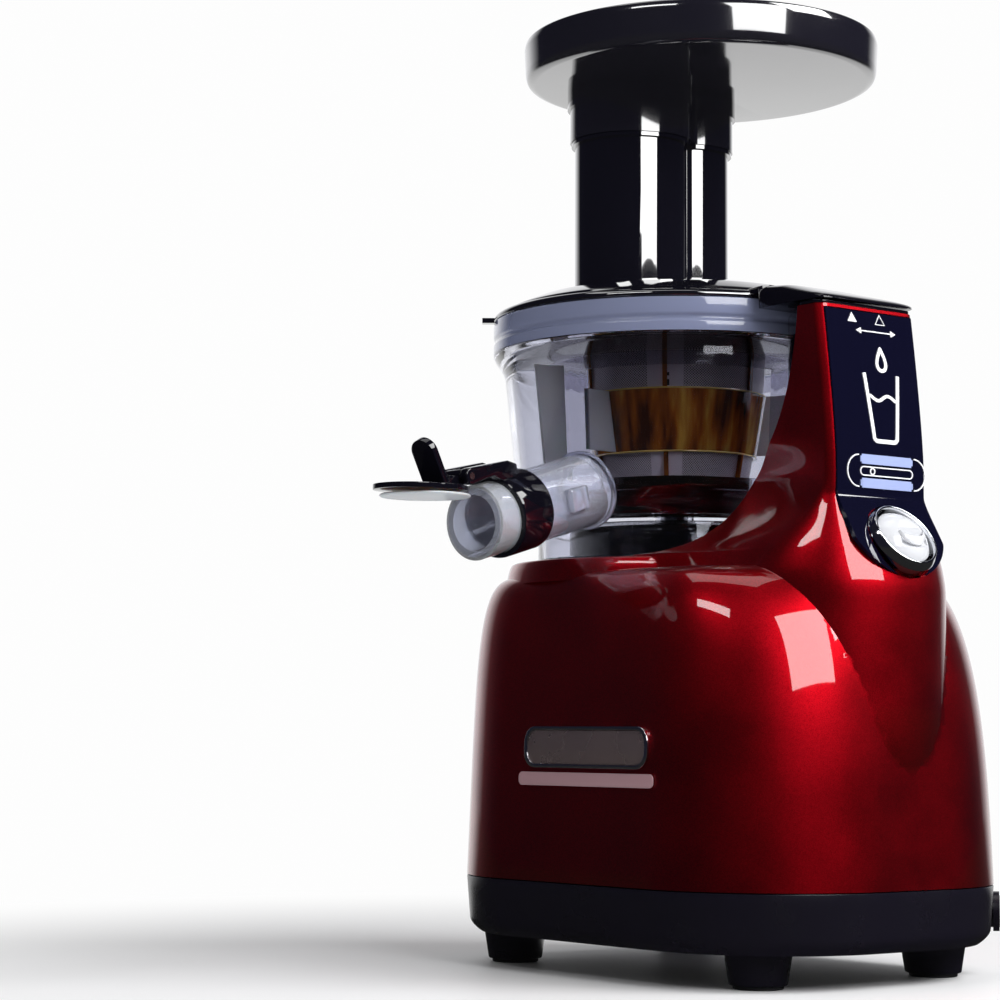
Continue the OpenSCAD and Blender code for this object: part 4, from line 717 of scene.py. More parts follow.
# The bowl: one smoky clear moulding, turned walls with a ribbed rim, the juice spout at the front and the
# pulp duct at the back. It drops over the seat and is held by the lid's tail.
floor_top, rim_top, ledge_z, bowl_foot = 190, 278, 264, 173
rim_r, bowl_t, shaft_r = 79.5, 2.8, 6
rim_in, wall_top_r, wall_low_r = rim_r - 3.2, rim_r - 5.3, rim_r - 10
smoky_clear = finish_of("smoky_clear_moulding", (0.74, 0.75, 0.82), (0.01, 0.03), (240, 0.003),
                        Transmission_Weight=1.0, IOR=1.15, Coat_Weight=1.0, Coat_Roughness=0.02)
bowl_line = [(shaft_r + 1.6, floor_top - bowl_t), (skirt_r - bowl_t, floor_top - bowl_t),
             (skirt_r - bowl_t, bowl_foot), (skirt_r, bowl_foot), (skirt_r, floor_top - 1),
             (skirt_r + 1.8, floor_top + 2.5), (wall_low_r - 1.5, floor_top + 11), (wall_low_r, floor_top + 17),
             (wall_low_r + 0.6, floor_top + 24), (wall_top_r, rim_top - 25), (wall_top_r + 1, rim_top - 22),
             (rim_r - 1, rim_top - 17), (rim_r, rim_top - 15), (rim_r, rim_top - 10),
             (rim_r - 1.1, rim_top - 9), (rim_r - 1.1, rim_top - 8), (rim_r, rim_top - 7), (rim_r, rim_top),
             (rim_in, rim_top), (rim_in, ledge_z), (wall_top_r - bowl_t, ledge_z),
             (wall_top_r - bowl_t, rim_top - 25), (wall_low_r - bowl_t + 0.6, floor_top + 24),
             (wall_low_r - bowl_t, floor_top + 17), (wall_low_r - bowl_t - 1.7, floor_top + 11.5),
             (skirt_r - 1, floor_top + 4), (skirt_r - 3, floor_top), (shaft_r + 4, floor_top),
             (shaft_r + 4, floor_top + 5), (shaft_r + 1.6, floor_top + 5)]
bowl = turned("clear_bowl", rounded(bowl_line, 0.9), parts=192)

spout_r, spout_reach, spout_z = 15.5, 136, floor_top + 10.4
spout_turn, spout_fall, mouth_cut = math.radians(12 - 90), math.radians(14.7), math.radians(9.5)
nose_r, collar_at = spout_r - 2, spout_reach - 31
spout_side = Vector((-math.sin(spout_turn), math.cos(spout_turn), 0))
spout_flat = Vector((math.cos(spout_turn), math.sin(spout_turn), 0))
spout_axis = spout_flat * math.cos(spout_fall) + Vector((0, 0, -math.sin(spout_fall)))
spout_down = -spout_flat * math.sin(spout_fall) + Vector((0, 0, -math.cos(spout_fall)))
spout_start = Vector((bowl_x, 0, spout_z)) + spout_flat * (skirt_r + 4)


def on_spout(x, y, z):
    """A point in the spout's frame: x down, y to the side, z along it from the bowl's axis."""
    return spout_start + spout_down * x + spout_side * y + spout_axis * (z - skirt_r - 4)


def box(name, low, high):
    """A plain block between two corners."""
    vertices = [(x, y, z) for z in (low[2], high[2]) for x, y in
                ((low[0], low[1]), (high[0], low[1]), (high[0], high[1]), (low[0], high[1]))]
    return lofted(name, [vertices[:4], vertices[4:]])


def mouth_cutter(reach):
    """A block past the slanted mouth of the spout."""
    block = box("mouth_cut", (-40, -40, 0), (40, 40, 60))
    c, s = math.cos(-mouth_cut), math.sin(-mouth_cut)
    return carried(block, lambda x, y, z: on_spout(x * c + z * s, y, reach - x * s + z * c))


# painted light: the spout tube, its root ring and lug get a paler, less clear copy of the bowl's finish, which
# stands in for the tube's bright highlights.
spout_painted_pale = finish_of("spout_clear_moulding", (0.80, 0.83, 0.96), (0.03, 0.07), (240, 0.003),
                        Transmission_Weight=0.78, IOR=1.35, Coat_Weight=1.0, Coat_Roughness=0.02)
bore_r = nose_r - 2.4
spout_line = [(bore_r, 59), (spout_r, 59), (spout_r, collar_at - 0.6), (spout_r - 0.6, collar_at),
              (nose_r, collar_at), (nose_r, 160), (bore_r, 160)]
spout = carried(turned("clear_spout", spout_line, (0, 0)), on_spout)
bowl_skin = [(rim_r - 20, floor_top - 30), (skirt_r - 0.6, floor_top - 30), (skirt_r - 0.6, floor_top - 1),
             (skirt_r + 1.2, floor_top + 2.5), (wall_low_r - 2.1, floor_top + 11),
             (wall_low_r - 0.6, floor_top + 17), (wall_low_r, rim_top), (10, rim_top), (10, floor_top - 30)]
joined(spout, turned("bowl_skin", bowl_skin, parts=192), "DIFFERENCE")
joined(spout, mouth_cutter(spout_reach), "DIFFERENCE")
dressed(spout, "bowl", spout_painted_pale)
root_r, root_low, root_high = spout_r + 1.2, 62.5, 65.1
root_line = rounded([(spout_r - 0.4, root_low), (root_r, root_low), (root_r, root_high),
                     (spout_r - 0.4, root_high)], 0.6)
root = carried(turned("spout_root_ring", root_line, (0, 0)), on_spout)
dressed(root, "bowl", spout_painted_pale)
lug = box("spout_lug", (-5, spout_r - 1.2, 83), (5, spout_r + 3, 95))
lug_edges = lug.modifiers.new("edges", "BEVEL")
lug_edges.width = 0.0012
lug_edges.segments = 3
dressed(carried(settled(lug), on_spout), "bowl", spout_painted_pale)
pulp_z, pulp_w, pulp_h, pulp_reach, pulp_wall = floor_top + 1, 30, 20, 108, 2.4
duct = box("pulp_duct", (bowl_x - pulp_w / 2 - pulp_wall, skirt_r - 4, pulp_z - pulp_wall),
           (bowl_x + pulp_w / 2 + pulp_wall, pulp_reach, pulp_z + pulp_h + pulp_wall))
duct_bore = (bowl_x - pulp_w / 2, skirt_r - 12, pulp_z), (bowl_x + pulp_w / 2, pulp_reach + 1, pulp_z + pulp_h)
joined(duct, turned("bowl_skin", bowl_skin, parts=192), "DIFFERENCE")
joined(duct, box("duct_bore", *duct_bore), "DIFFERENCE")
dressed(duct, "bowl", smoky_clear)
spout_bore = turned("spout_bore", rod(bore_r, skirt_r - 8, 76), (0, 0), 96)
joined(bowl, carried(spout_bore, on_spout), "DIFFERENCE")
joined(bowl, box("duct_bore", *duct_bore), "DIFFERENCE")
settled(bowl, 28)
dressed(bowl, "bowl", smoky_clear)
# painted light: the rim's faces get a paler, less clear copy of the bowl's finish, standing in for the light the
# rim catches.
bowl.data.materials.append(finish_of("thick_rim_moulding", (0.36, 0.40, 0.60), (0.10, 0.16), (700, 0.02),
                                     Transmission_Weight=0.55, IOR=1.3, Coat_Weight=1.0, Coat_Roughness=0.02))
for face in bowl.data.polygons:
    from_axis = math.hypot(face.center.x / MM - bowl_x, face.center.y / MM)
    if face.center.z / MM > ledge_z + 0.5 and from_axis > rim_in - 1:
        face.material_index = 1

# The spout's collar: a black band clipped round the clear tube, with two ears for the cap's pin, and the
# clear lip that the tube ends in.
band_w, collar_r = 19, spout_r + 1.4
collar_line = rounded([(nose_r + 0.15, collar_at + 0.2), (collar_r, collar_at + 0.2),
                       (collar_r, collar_at + band_w), (nose_r + 0.15, collar_at + band_w)], 0.9)
collar = carried(turned("spout_band", collar_line, (0, 0)), on_spout)
dressed(collar, "spout_collar", black_gloss)
hinge_up, hinge_out, hinge_y = 19.7, collar_at + 0.2 + band_w + 18, 6.6
ear_r, ear_half = 3.4, 2
ears = []
for s in (-1, 1):
    ear_line = [(-hinge_up + 2.4, collar_at + 9), (-hinge_up + 5.2, collar_at + 9),
                (-hinge_up + 5.2, collar_at + 19), (-hinge_up + 2.2, collar_at + 24)]
    ear_line += [(-hinge_up + ear_r * math.sin(a), hinge_out + ear_r * math.cos(a))
                 for a in np.radians(np.linspace(80, -100, 20))]
    ear_line += [(-hinge_up - 2.2, collar_at + 14), (-hinge_up, collar_at + 9)]
    ear = lofted("ear", [[(x, s * hinge_y + side, z) for x, z in ear_line] for side in (-ear_half, ear_half)])
    edges = ear.modifiers.new("edges", "BEVEL")
    edges.width = 0.0006
    edges.segments = 3
    edges.limit_method = "ANGLE"
    carried(settled(ear), on_spout)
    ears.append(ear)
hinge_ears = ears[0]
hinge_ears.name = "hinge_ears"
joined(hinge_ears, ears[1], "UNION")
pin_hole = carried(turned("pin_hole", rod(1.4, -20, 20), (0, 0), 40),
                   lambda x, y, z: on_spout(-hinge_up + x, z, hinge_out + y))
joined(hinge_ears, pin_hole, "DIFFERENCE")
dressed(hinge_ears, "spout_collar", black_gloss)
lip_glass = finish_of("clear_lip", (0.86, 0.88, 0.92), (0.02, 0.05), (240, 0.003),
                      Transmission_Weight=0.75, IOR=1.35, Coat_Weight=1.0, Coat_Roughness=0.02)
lip_line = [(nose_r + 0.12, collar_at + band_w + 0.2), (nose_r + 1.4, collar_at + band_w + 0.2),
            (nose_r + 1.4, 150), (nose_r + 0.12, 150)]
lip = carried(turned("spout_lip", lip_line, (0, 0)), on_spout)
joined(lip, mouth_cutter(spout_reach - 0.4), "DIFFERENCE")
dressed(lip, "spout_collar", lip_glass)

# The drip cap: a black lever with a finger tab that hinges on the collar, and a soft silicone plug on a stem.
milky_silicone = finish_of("milky_silicone", (0.78, 0.79, 0.82), (0.3, 0.4), (800, 0.03),
                           Transmission_Weight=0.3, Subsurface_Weight=0.15)
eased("cap_lever", 0.5, black_gloss)
eased("cap_plug", 0.2, milky_silicone)
eased("pulp_gasket", 0.3, soft_rubber)

# The strainer: a cone of finely perforated steel with a plain welded seam, in an amber frame.
sieve_top, sieve_low, band_top, band_low = ledge_z, floor_top + 15, ledge_z - 19, ledge_z - 45
sieve_top_r, sieve_low_r, sieve_t, frame_t = 40, 31.8, 0.8, 1.6


def sieve_r(z):
    """The strainer's outer radius at a height."""
    return float(np.interp(z, (sieve_low, band_low, band_top, sieve_top),
                           (sieve_low_r, sieve_low_r + 2.6, sieve_top_r - 1.2, sieve_top_r)))


def perforated_group():
    """Round holes in staggered rows round an upright axis; puts out the hole mask and a normal."""
    group = bpy.data.node_groups.new("perforated_sheet", "ShaderNodeTree")
    for label, value in (("Axis X", bowl_x * MM), ("Sheet Radius", 0.036), ("Pitch", 0.00112),
                         ("Hole Size", 0.34), ("Seam Angle", math.radians(-47)), ("Seam Half Width", 0.0072)):
        group.interface.new_socket(label, in_out="INPUT", socket_type="NodeSocketFloat").default_value = value
    group.interface.new_socket("Sheet", in_out="OUTPUT", socket_type="NodeSocketFloat")
    group.interface.new_socket("Normal", in_out="OUTPUT", socket_type="NodeSocketVector")
    new, link = group.nodes.new, group.links.new

    def maths(operation, first, second=None):
        node = new("ShaderNodeMath")
        node.operation = operation
        for socket, value in zip(node.inputs, (first, second)):
            if value is None:
                continue
            if isinstance(value, (int, float)):
                socket.default_value = value
            else:
                link(value, socket)
        return node.outputs[0]

    given = new("NodeGroupInput").outputs
    out = new("NodeGroupOutput")
    where, split = new("ShaderNodeTexCoord"), new("ShaderNodeSeparateXYZ")
    link(where.outputs["Object"], split.inputs[0])
    angle = maths("ARCTAN2", split.outputs["Y"], maths("SUBTRACT", split.outputs["X"], given["Axis X"]))
    around = maths("MULTIPLY", angle, given["Sheet Radius"])
    row = maths("DIVIDE", maths("ADD", around, split.outputs["Z"]), given["Pitch"])
    column_at = maths("DIVIDE", maths("SUBTRACT", around, split.outputs["Z"]), given["Pitch"])
    plan = new("ShaderNodeCombineXYZ")
    link(row, plan.inputs["X"])
    link(column_at, plan.inputs["Y"])
    cells = new("ShaderNodeTexVoronoi")
    cells.voronoi_dimensions = "2D"
    cells.inputs["Scale"].default_value = 1
    cells.inputs["Randomness"].default_value = 0
    link(plan.outputs[0], cells.inputs["Vector"])
    metal = new("ShaderNodeMapRange")
    metal.interpolation_type = "SMOOTHSTEP"
    link(cells.outputs["Distance"], metal.inputs["Value"])
    link(maths("SUBTRACT", given["Hole Size"], 0.05), metal.inputs["From Min"])
    link(maths("ADD", given["Hole Size"], 0.05), metal.inputs["From Max"])
    past_seam = maths("MULTIPLY", maths("SUBTRACT", angle, given["Seam Angle"]), given["Sheet Radius"])
    plain = maths("LESS_THAN", maths("ABSOLUTE", past_seam), given["Seam Half Width"])
    sheet = maths("MAXIMUM", metal.outputs["Result"], plain)
    bump = new("ShaderNodeBump")
    bump.inputs["Strength"].default_value = 0.35
    bump.inputs["Distance"].default_value = 0.0002
    link(sheet, bump.inputs["Height"])
    link(sheet, out.inputs["Sheet"])
    link(bump.outputs["Normal"], out.inputs["Normal"])
    return group


sieve_steel = bpy.data.materials.new("perforated_steel")
sieve_steel.use_nodes = True
tree = sieve_steel.node_tree
shader = tree.nodes["Principled BSDF"]
holes = tree.nodes.new("ShaderNodeGroup")
holes.node_tree = perforated_group()
# The holes are painted near black: painted shade for the strainer's shaded inside, together with the black auger
# seen through them. The pale tone is the steel's own.
sheet_tone_holes_painted_dark = tree.nodes.new("ShaderNodeValToRGB")
sheet_tone_holes_painted_dark.color_ramp.elements[0].color = (0.006, 0.004, 0.007, 1)
sheet_tone_holes_painted_dark.color_ramp.elements[1].color = (0.85, 0.76, 0.84, 1)
shader.inputs["Roughness"].default_value = 0.34
wire(sieve_steel, (holes, "Sheet"), (sheet_tone_holes_painted_dark, "Fac"))
wire(sieve_steel, (sheet_tone_holes_painted_dark, "Color"), (shader, "Base Color"))
shader.inputs["Metallic"].default_value = 0.15
wire(sieve_steel, (holes, "Normal"), (shader, "Normal"))
sieve_zs = [sieve_low, mix(sieve_low, band_low, 0.5), band_low, mix(band_low, band_top, 0.5), band_top,
            sieve_top]
sieve_line = [(sieve_r(z), z) for z in sieve_zs] + [(sieve_r(z) - sieve_t, z) for z in sieve_zs[::-1]]
sieve = turned("strainer_sheet", sieve_line, parts=192)
dressed(sieve, "strainer_mesh", sieve_steel)


def repeated(name, master, count, step=(0, 0, 0), turn=0.0, first=0.0, material=None):
    """Copies of a master piece, stepped along a line and turned about an upright axis, as one plain mesh."""
    tree = bpy.data.node_groups.new(name, "GeometryNodeTree")
    tree.is_modifier = True
    inputs = {}
    for label, kind, value in (("Master", "NodeSocketObject", master), ("Count", "NodeSocketInt", count),
                               ("Step", "NodeSocketVector", step), ("Turn", "NodeSocketFloat", turn),
                               ("First", "NodeSocketFloat", first), ("Finish", "NodeSocketMaterial", material)):
        socket = tree.interface.new_socket(label, in_out="INPUT", socket_type=kind)
        inputs[socket.identifier] = value
    tree.interface.new_socket("Geometry", in_out="OUTPUT", socket_type="NodeSocketGeometry")
    new, link = tree.nodes.new, tree.links.new
    given, result = new("NodeGroupInput").outputs, new("NodeGroupOutput")
    line, source = new("GeometryNodeMeshLine"), new("GeometryNodeObjectInfo")
    index = new("GeometryNodeInputIndex")
    times, plus = new("ShaderNodeMath"), new("ShaderNodeMath")
    times.operation, plus.operation = "MULTIPLY", "ADD"
    spin, copies = new("ShaderNodeCombineXYZ"), new("GeometryNodeInstanceOnPoints")
    real, paint = new("GeometryNodeRealizeInstances"), new("GeometryNodeSetMaterial")
    link(given["Count"], line.inputs["Count"])
    link(given["Step"], line.inputs["Offset"])
    link(given["Master"], source.inputs["Object"])
    link(index.outputs[0], times.inputs[0])
    link(given["Turn"], times.inputs[1])
    link(times.outputs[0], plus.inputs[0])
    link(given["First"], plus.inputs[1])
    link(plus.outputs[0], spin.inputs["Z"])
    link(line.outputs["Mesh"], copies.inputs["Points"])
    link(source.outputs["Geometry"], copies.inputs["Instance"])
    link(spin.outputs[0], copies.inputs["Rotation"])
    link(copies.outputs[0], real.inputs[0])
    link(real.outputs[0], paint.inputs["Geometry"])
    link(given["Finish"], paint.inputs["Material"])
    link(paint.outputs[0], result.inputs[0])
    piece = bpy.data.objects.new(name, bpy.data.meshes.new(name))
    scene.collection.objects.link(piece)
    maker = piece.modifiers.new("copies", "NODES")
    maker.node_group = tree
    for identifier, value in inputs.items():
        maker[identifier] = tuple(float(v) for v in value) if isinstance(value, tuple) else value
    settled(piece, 35)
    bpy.data.objects.remove(master)
    return piece


def shifted(piece, x, y=0.0, z=0.0):
    """Moves a piece's mesh by millimetres."""
    piece.data.transform(Matrix.Translation(Vector((x, y, z)) * MM))
    return piece


# The seam's slots are a row of small windows beside the weld, each a near-black block: painted shadow for the
# shade inside the slot.
slot_painted_shadow = finish_of("slot_shadow", (0.008, 0.006, 0.010), (0.5, 0.6))
seam_a = math.radians(-46)
slot = box("slot", (-0.25, -1.1, 0), (0.18, 1.1, 2.6))
slot.data.transform(Matrix.Translation(Vector((sieve_top_r - 0.95, 0, band_top + 1.3)) * MM))
slot.data.transform(Matrix.Rotation(seam_a, 4, "Z"))
slots = shifted(repeated("seam_slots", slot, 4, (0, 0, 4.2 * MM), 0.0, 0.0, slot_painted_shadow), bowl_x)
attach(slots, "bowl")

amber_clear = finish_of("amber_clear_moulding", (0.42, 0.09, 0.008), (0.03, 0.06), (240, 0.005),
                        Transmission_Weight=0.15, IOR=1.3, Coat_Weight=1.0, Coat_Roughness=0.03)
tree = amber_clear.node_tree
# Vertical streaks from dark brown to bright orange: the amber's own tint with painted reflection streaks over
# it, the brightest being a painted highlight.
streak_at, streak_scale = tree.nodes.new("ShaderNodeTexCoord"), tree.nodes.new("ShaderNodeMapping")
streak_scale.inputs["Scale"].default_value = (110, 110, 5)
streaks, amber_tint_and_painted_streaks = tree.nodes.new("ShaderNodeTexNoise"), tree.nodes.new("ShaderNodeValToRGB")
streaks.inputs["Scale"].default_value = 1
streaks.inputs["Detail"].default_value = 3
for spot, tone in ((0.36, (0.10, 0.018, 0.003, 1)), (0.50, (0.50, 0.13, 0.010, 1)),
                   (0.66, (1.0, 0.52, 0.08, 1))):
    step = amber_tint_and_painted_streaks.color_ramp.elements.new(spot)
    step.color = tone
amber_tint_and_painted_streaks.color_ramp.elements.remove(amber_tint_and_painted_streaks.color_ramp.elements[0])
amber_tint_and_painted_streaks.color_ramp.elements.remove(amber_tint_and_painted_streaks.color_ramp.elements[-1])
for start, end in (((streak_at, "Object"), (streak_scale, "Vector")),
                   ((streak_scale, "Vector"), (streaks, "Vector")), ((streaks, "Fac"), (amber_tint_and_painted_streaks, "Fac")),
                   ((amber_tint_and_painted_streaks, "Color"), (tree.nodes["Principled BSDF"], "Base Color"))):
    wire(amber_clear, start, end)
# painted highlight: the thin rings at the band's top and bottom are bright yellow-orange, for the glint along
# its edges.
amber_edge = finish_of("amber_edge", (1.0, 0.72, 0.20), (0.12, 0.2), (240, 0.005), Coat_Weight=1.0)
# painted shade: the strainer's top and foot rings get a dark copy of the amber.
amber_painted_shade = finish_of("amber_ring_shaded", (0.035, 0.012, 0.006), (0.08, 0.12), (240, 0.005), Coat_Weight=0.5)
band_line = [(sieve_r(band_low) + 0.05, band_low), (sieve_r(band_low) + frame_t, band_low),
             (sieve_r(band_top) + frame_t, band_top), (sieve_r(band_top) + 0.05, band_top)]
band = turned("amber_band", rounded(band_line, 0.4), parts=192)
dressed(band, "strainer_frame", amber_clear)


def lip_ring(name, at, low, high):
    """A thin ring round the amber band, finished bright as a painted highlight along the band's edge, with the
    sheet's radius taken at a height.
    """
    inner, outer = sieve_r(at) + 0.1, sieve_r(at) + frame_t + 0.25
    return turned(name, rounded([(inner, low), (outer, low), (outer, high), (inner, high)], 0.3), parts=192)


lips = lip_ring("amber_band_edges", band_top, band_top + 0.02, band_top + 0.75)
joined(lips, lip_ring("lower_lip", band_low, band_low - 0.8, band_low - 0.02), "UNION")
dressed(lips, "strainer_frame", amber_edge)
ring_in, ring_out, wall_in, wall_out = sieve_top_r - sieve_t, rim_in - 0.4, 52, 54
ring_low, ring_high, wall_high = sieve_top + 0.05, sieve_top + 2.6, sieve_top + 8
top_line = [(ring_in, ring_low), (ring_out, ring_low), (ring_out, ring_high), (wall_out, ring_high),
            (wall_out, wall_high), (wall_in, wall_high), (wall_in, ring_high), (ring_in, ring_high)]
top_ring = turned("strainer_top_ring", rounded(top_line, 0.4), parts=192)
dressed(top_ring, "strainer_frame", amber_painted_shade)
foot_in, foot_out = 23, sieve_low_r + frame_t
foot_line = [(foot_in, sieve_low - 3.2), (foot_out, sieve_low - 3.2), (foot_out + 0.6, sieve_low + 3),
             (sieve_r(sieve_low + 3) + 0.05, sieve_low + 3), (sieve_low_r + 0.05, sieve_low - 0.05),
             (foot_in, sieve_low - 0.05)]
foot_ring = turned("strainer_foot_ring", foot_line, parts=192)
dressed(foot_ring, "strainer_frame", amber_painted_shade)
rib_turn, rib_first = math.radians(60), math.radians(13)
for name, z1, z2 in (("lower_ribs", sieve_low, band_low + 0.5),
                     ("upper_ribs", band_top - 0.5, sieve_top + 0.5)):
    rib = lofted("rib", [[(sieve_r(z) + 0.3, -1, z), (sieve_r(z) + frame_t, -1, z),
                          (sieve_r(z) + frame_t, 1, z), (sieve_r(z) + 0.3, 1, z)] for z in (z1, z2)])
    ribs = shifted(repeated(name, rib, 6, (0, 0, 0), rib_turn, rib_first, amber_clear), bowl_x)
    dressed(ribs, "strainer_frame", amber_clear)

# The wiper cage round the strainer, its silicone blades, and the gears that turn it.
wiper_black = finish_of("wiper_black", (0.006, 0.006, 0.010), (0.14, 0.22), (500, 0.02))
wiper_smoke = finish_of("wiper_smoky_moulding", (0.62, 0.61, 0.68), (0.05, 0.09), (300, 0.004),
                        Transmission_Weight=1.0, IOR=1.06, Coat_Weight=0.25)
eased("wiper_frame", 0.3, wiper_smoke)
eased("wiper_blades", 0, milky_silicone)
eased("ring_gear", 0, wiper_black)

# The auger: a black core with two flights and a steel tip that runs in the lid's bush.
zinc_steel = finish_of("machined_steel", (0.55, 0.56, 0.58), (0.2, 0.3), (900, 0.03), Metallic=1.0)
eased("auger", 0.3, black_gloss)
eased("auger_flights", 0, black_gloss, sharp=50)
eased("auger_tip", 0.3, zinc_steel)

# The lid: a black dome that closes the bowl, with the feed chute rising from it in one moulding. The chute
# has two lobes side by side, and its collar carries the tray.
lid_z, dome_rise, chute_x, chute_y, chute_turn = 278.3, 14, -43, -12, math.radians(3.6)
chute_r, chute_low_r, chute_lobes, chute_t = 25, 20.5, 32, 2.5
tray_top, tray_depth, tray_r, tray_shift = 400, 18, 77.2, 17.5
chute_top, sleeve_low = tray_top - tray_depth + 3, tray_top - tray_depth - 22


def chute_line(grow, count=64):
    """The chute's outline, grown outwards, with the notch between its lobes eased."""
    big, small = chute_r + grow, chute_low_r + grow
    wall_a = math.pi - math.asin((big - small) / chute_lobes)
    along = (chute_lobes ** 2 + big ** 2 - small ** 2) / (2 * chute_lobes)
    across = math.sqrt(big ** 2 - along ** 2)
    skip = 0.10  # radians left out on each side of the notch, which a straight line then crosses
    points = [(small * math.cos(a), chute_lobes + small * math.sin(a))
              for a in np.linspace(math.atan2(along - chute_lobes, across) + skip, wall_a, count)]
    points += [(big * math.cos(a), big * math.sin(a))
               for a in np.linspace(wall_a, 2 * math.pi + math.atan2(along, across) - skip, count)]
    c, s = math.cos(chute_turn), math.sin(chute_turn)
    return [(chute_x + x * c - y * s, chute_y + x * s + y * c) for x, y in points]


def prism(name, line, low, high):
    """An upright solid over an outline."""
    return lofted(name, [[(x, y, low) for x, y in line], [(x, y, high) for x, y in line]])


dome = [(rim_r, 0), (rim_r, 1.6), (rim_r - 1.4, 3), (rim_r - 5, 3.6), (rim_r - 6.2, 5), (rim_r - 17, 9.4),
        (rim_r - 29, 12.2), (rim_r - 41, dome_rise - 0.8), (rim_r - 53, dome_rise), (0, dome_rise), (0, -3),
        (38, -3), (38, 3), (rim_in - 4, -1), (rim_in - 4, -6), (rim_in - 1.6, -6), (rim_in - 1.6, 0)]
lid = turned("black_lid", rounded([(r, lid_z + z) for r, z in dome], 1.0), parts=192)
joined(lid, prism("chute", chute_line(0), lid_z + 2, chute_top), "UNION")
joined(lid, prism("chute_collar", chute_line(1.6), sleeve_low - 1.8, sleeve_low - 0.2), "UNION")
nib = box("lock_nib", (rim_r - 2, -2.5, 0), (rim_r + 5, 2.5, 2.2))
nib_turn = Matrix.Rotation(math.radians(-128), 4, "Z")
nib.data.transform(Matrix.Translation(Vector((bowl_x, 0, lid_z)) * MM) @ nib_turn)
joined(lid, nib, "UNION")
bore = prism("chute_bore", chute_line(-chute_t), lid_z + 4, 420)
throat = prism("throat", chute_line(-chute_t), lid_z - 4, lid_z + 5)
throat_round = turned("throat_round", rod(35.5, lid_z - 6, lid_z + 8), parts=96)
joined(throat, throat_round, "INTERSECT")
bush_out, bush_top = 6.5, 280
for tool in (bore, throat):
    joined(tool, turned("boss", rod(bush_out + 1.4, lid_z - 6, lid_z + dome_rise - 3), parts=64), "DIFFERENCE")
    joined(lid, tool, "DIFFERENCE")
joined(lid, turned("bush_hole", rod(bush_out, lid_z - 6, bush_top), parts=64), "DIFFERENCE")
settled(lid, 30)
chute_black = finish_of("lid_gloss_black", (0.0035, 0.0032, 0.006), (0.05, 0.09), (240, 0.010), Coat_Weight=1.0,
                        Coat_IOR=2.3, Coat_Roughness=0.02)
dressed(lid, "lid", chute_black)
cap_t, tail_gap = 1.4, 0.8
tail_low = col_top + cap_t + tail_gap
tail_x0, tail_x1, tail_x2 = bowl_x + 66, bowl_x + rim_r + 1, back_x(col_top) + 1.2
tail_top = ([tail_x0 + 4, tail_x0 + 13, tail_x0 + 26, tail_x2 - 6, tail_x2 - 1.5, tail_x2 - 0.3],
            [10.6, 10.9, 9.4, 3.4, 1.8, 0.9])
tail_side = ([tail_x0 + 4, tail_x1 + 2, tail_x2 - 5, tail_x2 - 2, tail_x2 - 0.3],
             [23.5, 25.5, 27.2, 26.0, 23.2])
tail_rings = []
for x in sorted(list(np.linspace(tail_x0 + 4, tail_x2 - 6, 30)) + [tail_x1 + 0.6, tail_x1 + 0.8] +
                [tail_x2 - d for d in (4.5, 3, 2, 1.2, 0.7, 0.3)]):
    low = lid_z + 1 if x < tail_x1 + 0.7 else tail_low
    high = max(tail_low + float(np.interp(x, *tail_top)), low + 0.3)
    wide = float(np.interp(x, *tail_side))
    crown = [(x, wide * math.copysign(abs(math.cos(a)) ** 0.35, math.cos(a)),
              low + (high - low) * math.sin(a) ** 0.5) for a in np.linspace(0, math.pi, 33)]
    tail_rings.append(crown)
tail = faced_out(lofted("lid_tail_moulding", tail_rings, 40))
dressed(tail, "lid_tail", black_gloss)

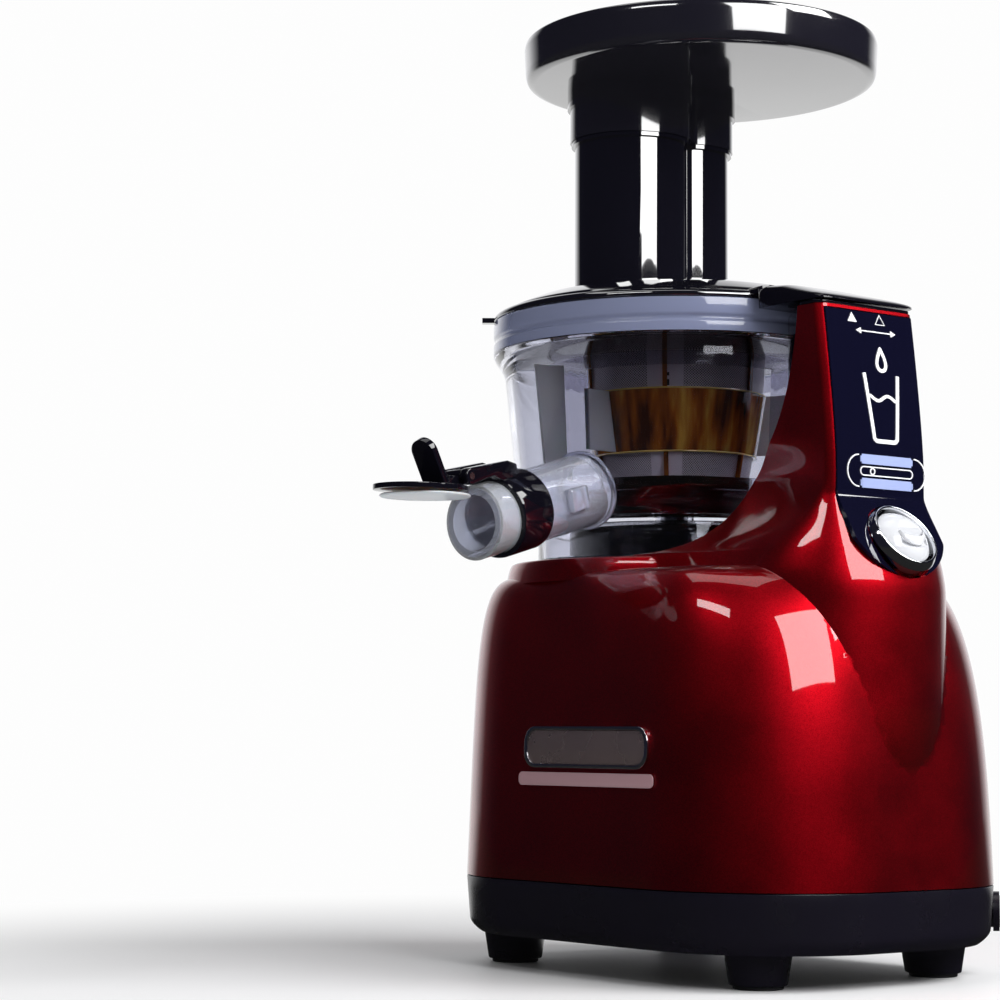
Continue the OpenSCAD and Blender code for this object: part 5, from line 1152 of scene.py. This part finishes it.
# The hopper tray: a round dish with a rolled edge, whose sleeve slips over the chute.
tray_z, tray_t = tray_top - tray_depth, 2.6
tray_black = finish_of("tray_black_moulding", (0.008, 0.0075, 0.012), (0.10, 0.16), (240, 0.012),
                       Coat_Weight=1.0, Coat_IOR=2.1, Coat_Roughness=0.05)
tray_line = [(0, tray_z), (tray_r - 4, tray_z), (tray_r - 1.4, tray_z + 1), (tray_r - 0.6, tray_z + 3.4),
             (tray_r, tray_top - 3), (tray_r - 0.6, tray_top - 0.6), (tray_r - 1.6, tray_top),
             (tray_r - 2.6, tray_top - 0.6), (tray_r - 3.4, tray_z + 5), (tray_r - 6, tray_z + tray_t),
             (0, tray_z + tray_t)]
tray = turned("round_tray", rounded(tray_line, 1.2), (bowl_x + tray_shift, 0), 224)
joined(tray, prism("tray_boss", chute_line(3.4), tray_z - 7, tray_z + 1), "UNION")
joined(tray, prism("tray_sleeve", chute_line(2.2), sleeve_low, tray_z + 1), "UNION")
joined(tray, prism("sleeve_bore", chute_line(0.3), sleeve_low - 1, 420), "DIFFERENCE")
settled(tray, 30)
dressed(tray, "hopper_tray", tray_black)

# The parts inside and underneath keep their machined shapes; each gets the finish of its own stock.
stock = {
    "motor_steel": finish_of("painted_steel", (0.10, 0.11, 0.12), (0.35, 0.5), (700, 0.08), Metallic=0.6),
    "core_steel": finish_of("stacked_laminations", (0.30, 0.30, 0.31), (0.35, 0.45), (2200, 0.2), Metallic=0.8),
    "copper_wire": finish_of("enamelled_copper", (0.58, 0.24, 0.08), (0.25, 0.35), (1800, 0.3), Metallic=0.9),
    "cast_alloy": finish_of("cast_alloy", (0.42, 0.43, 0.45), (0.4, 0.55), (900, 0.15), Metallic=0.8),
    "bronze_bush": finish_of("sintered_bronze", (0.50, 0.36, 0.16), (0.35, 0.45), (1500, 0.12), Metallic=0.9),
    "gear_plastic": finish_of("natural_acetal", (0.62, 0.61, 0.56), (0.3, 0.4), (700, 0.03)),
    "board_green": finish_of("board_green", (0.02, 0.14, 0.05), (0.3, 0.4), (900, 0.05)),
    "zinc_steel": zinc_steel, "black_satin": black_satin, "black_gloss": black_gloss, "soft_rubber": soft_rubber,
    "bright_chrome": chrome, "milky_silicone": milky_silicone}
slot_of = {part["node"]: part["material_slot"] for part in frame["record"]["subparts"]}
for node, solid in frame["nodes"].items():
    solid.data.materials.clear()
    solid.data.materials.append(stock.get(slot_of[node], zinc_steel))
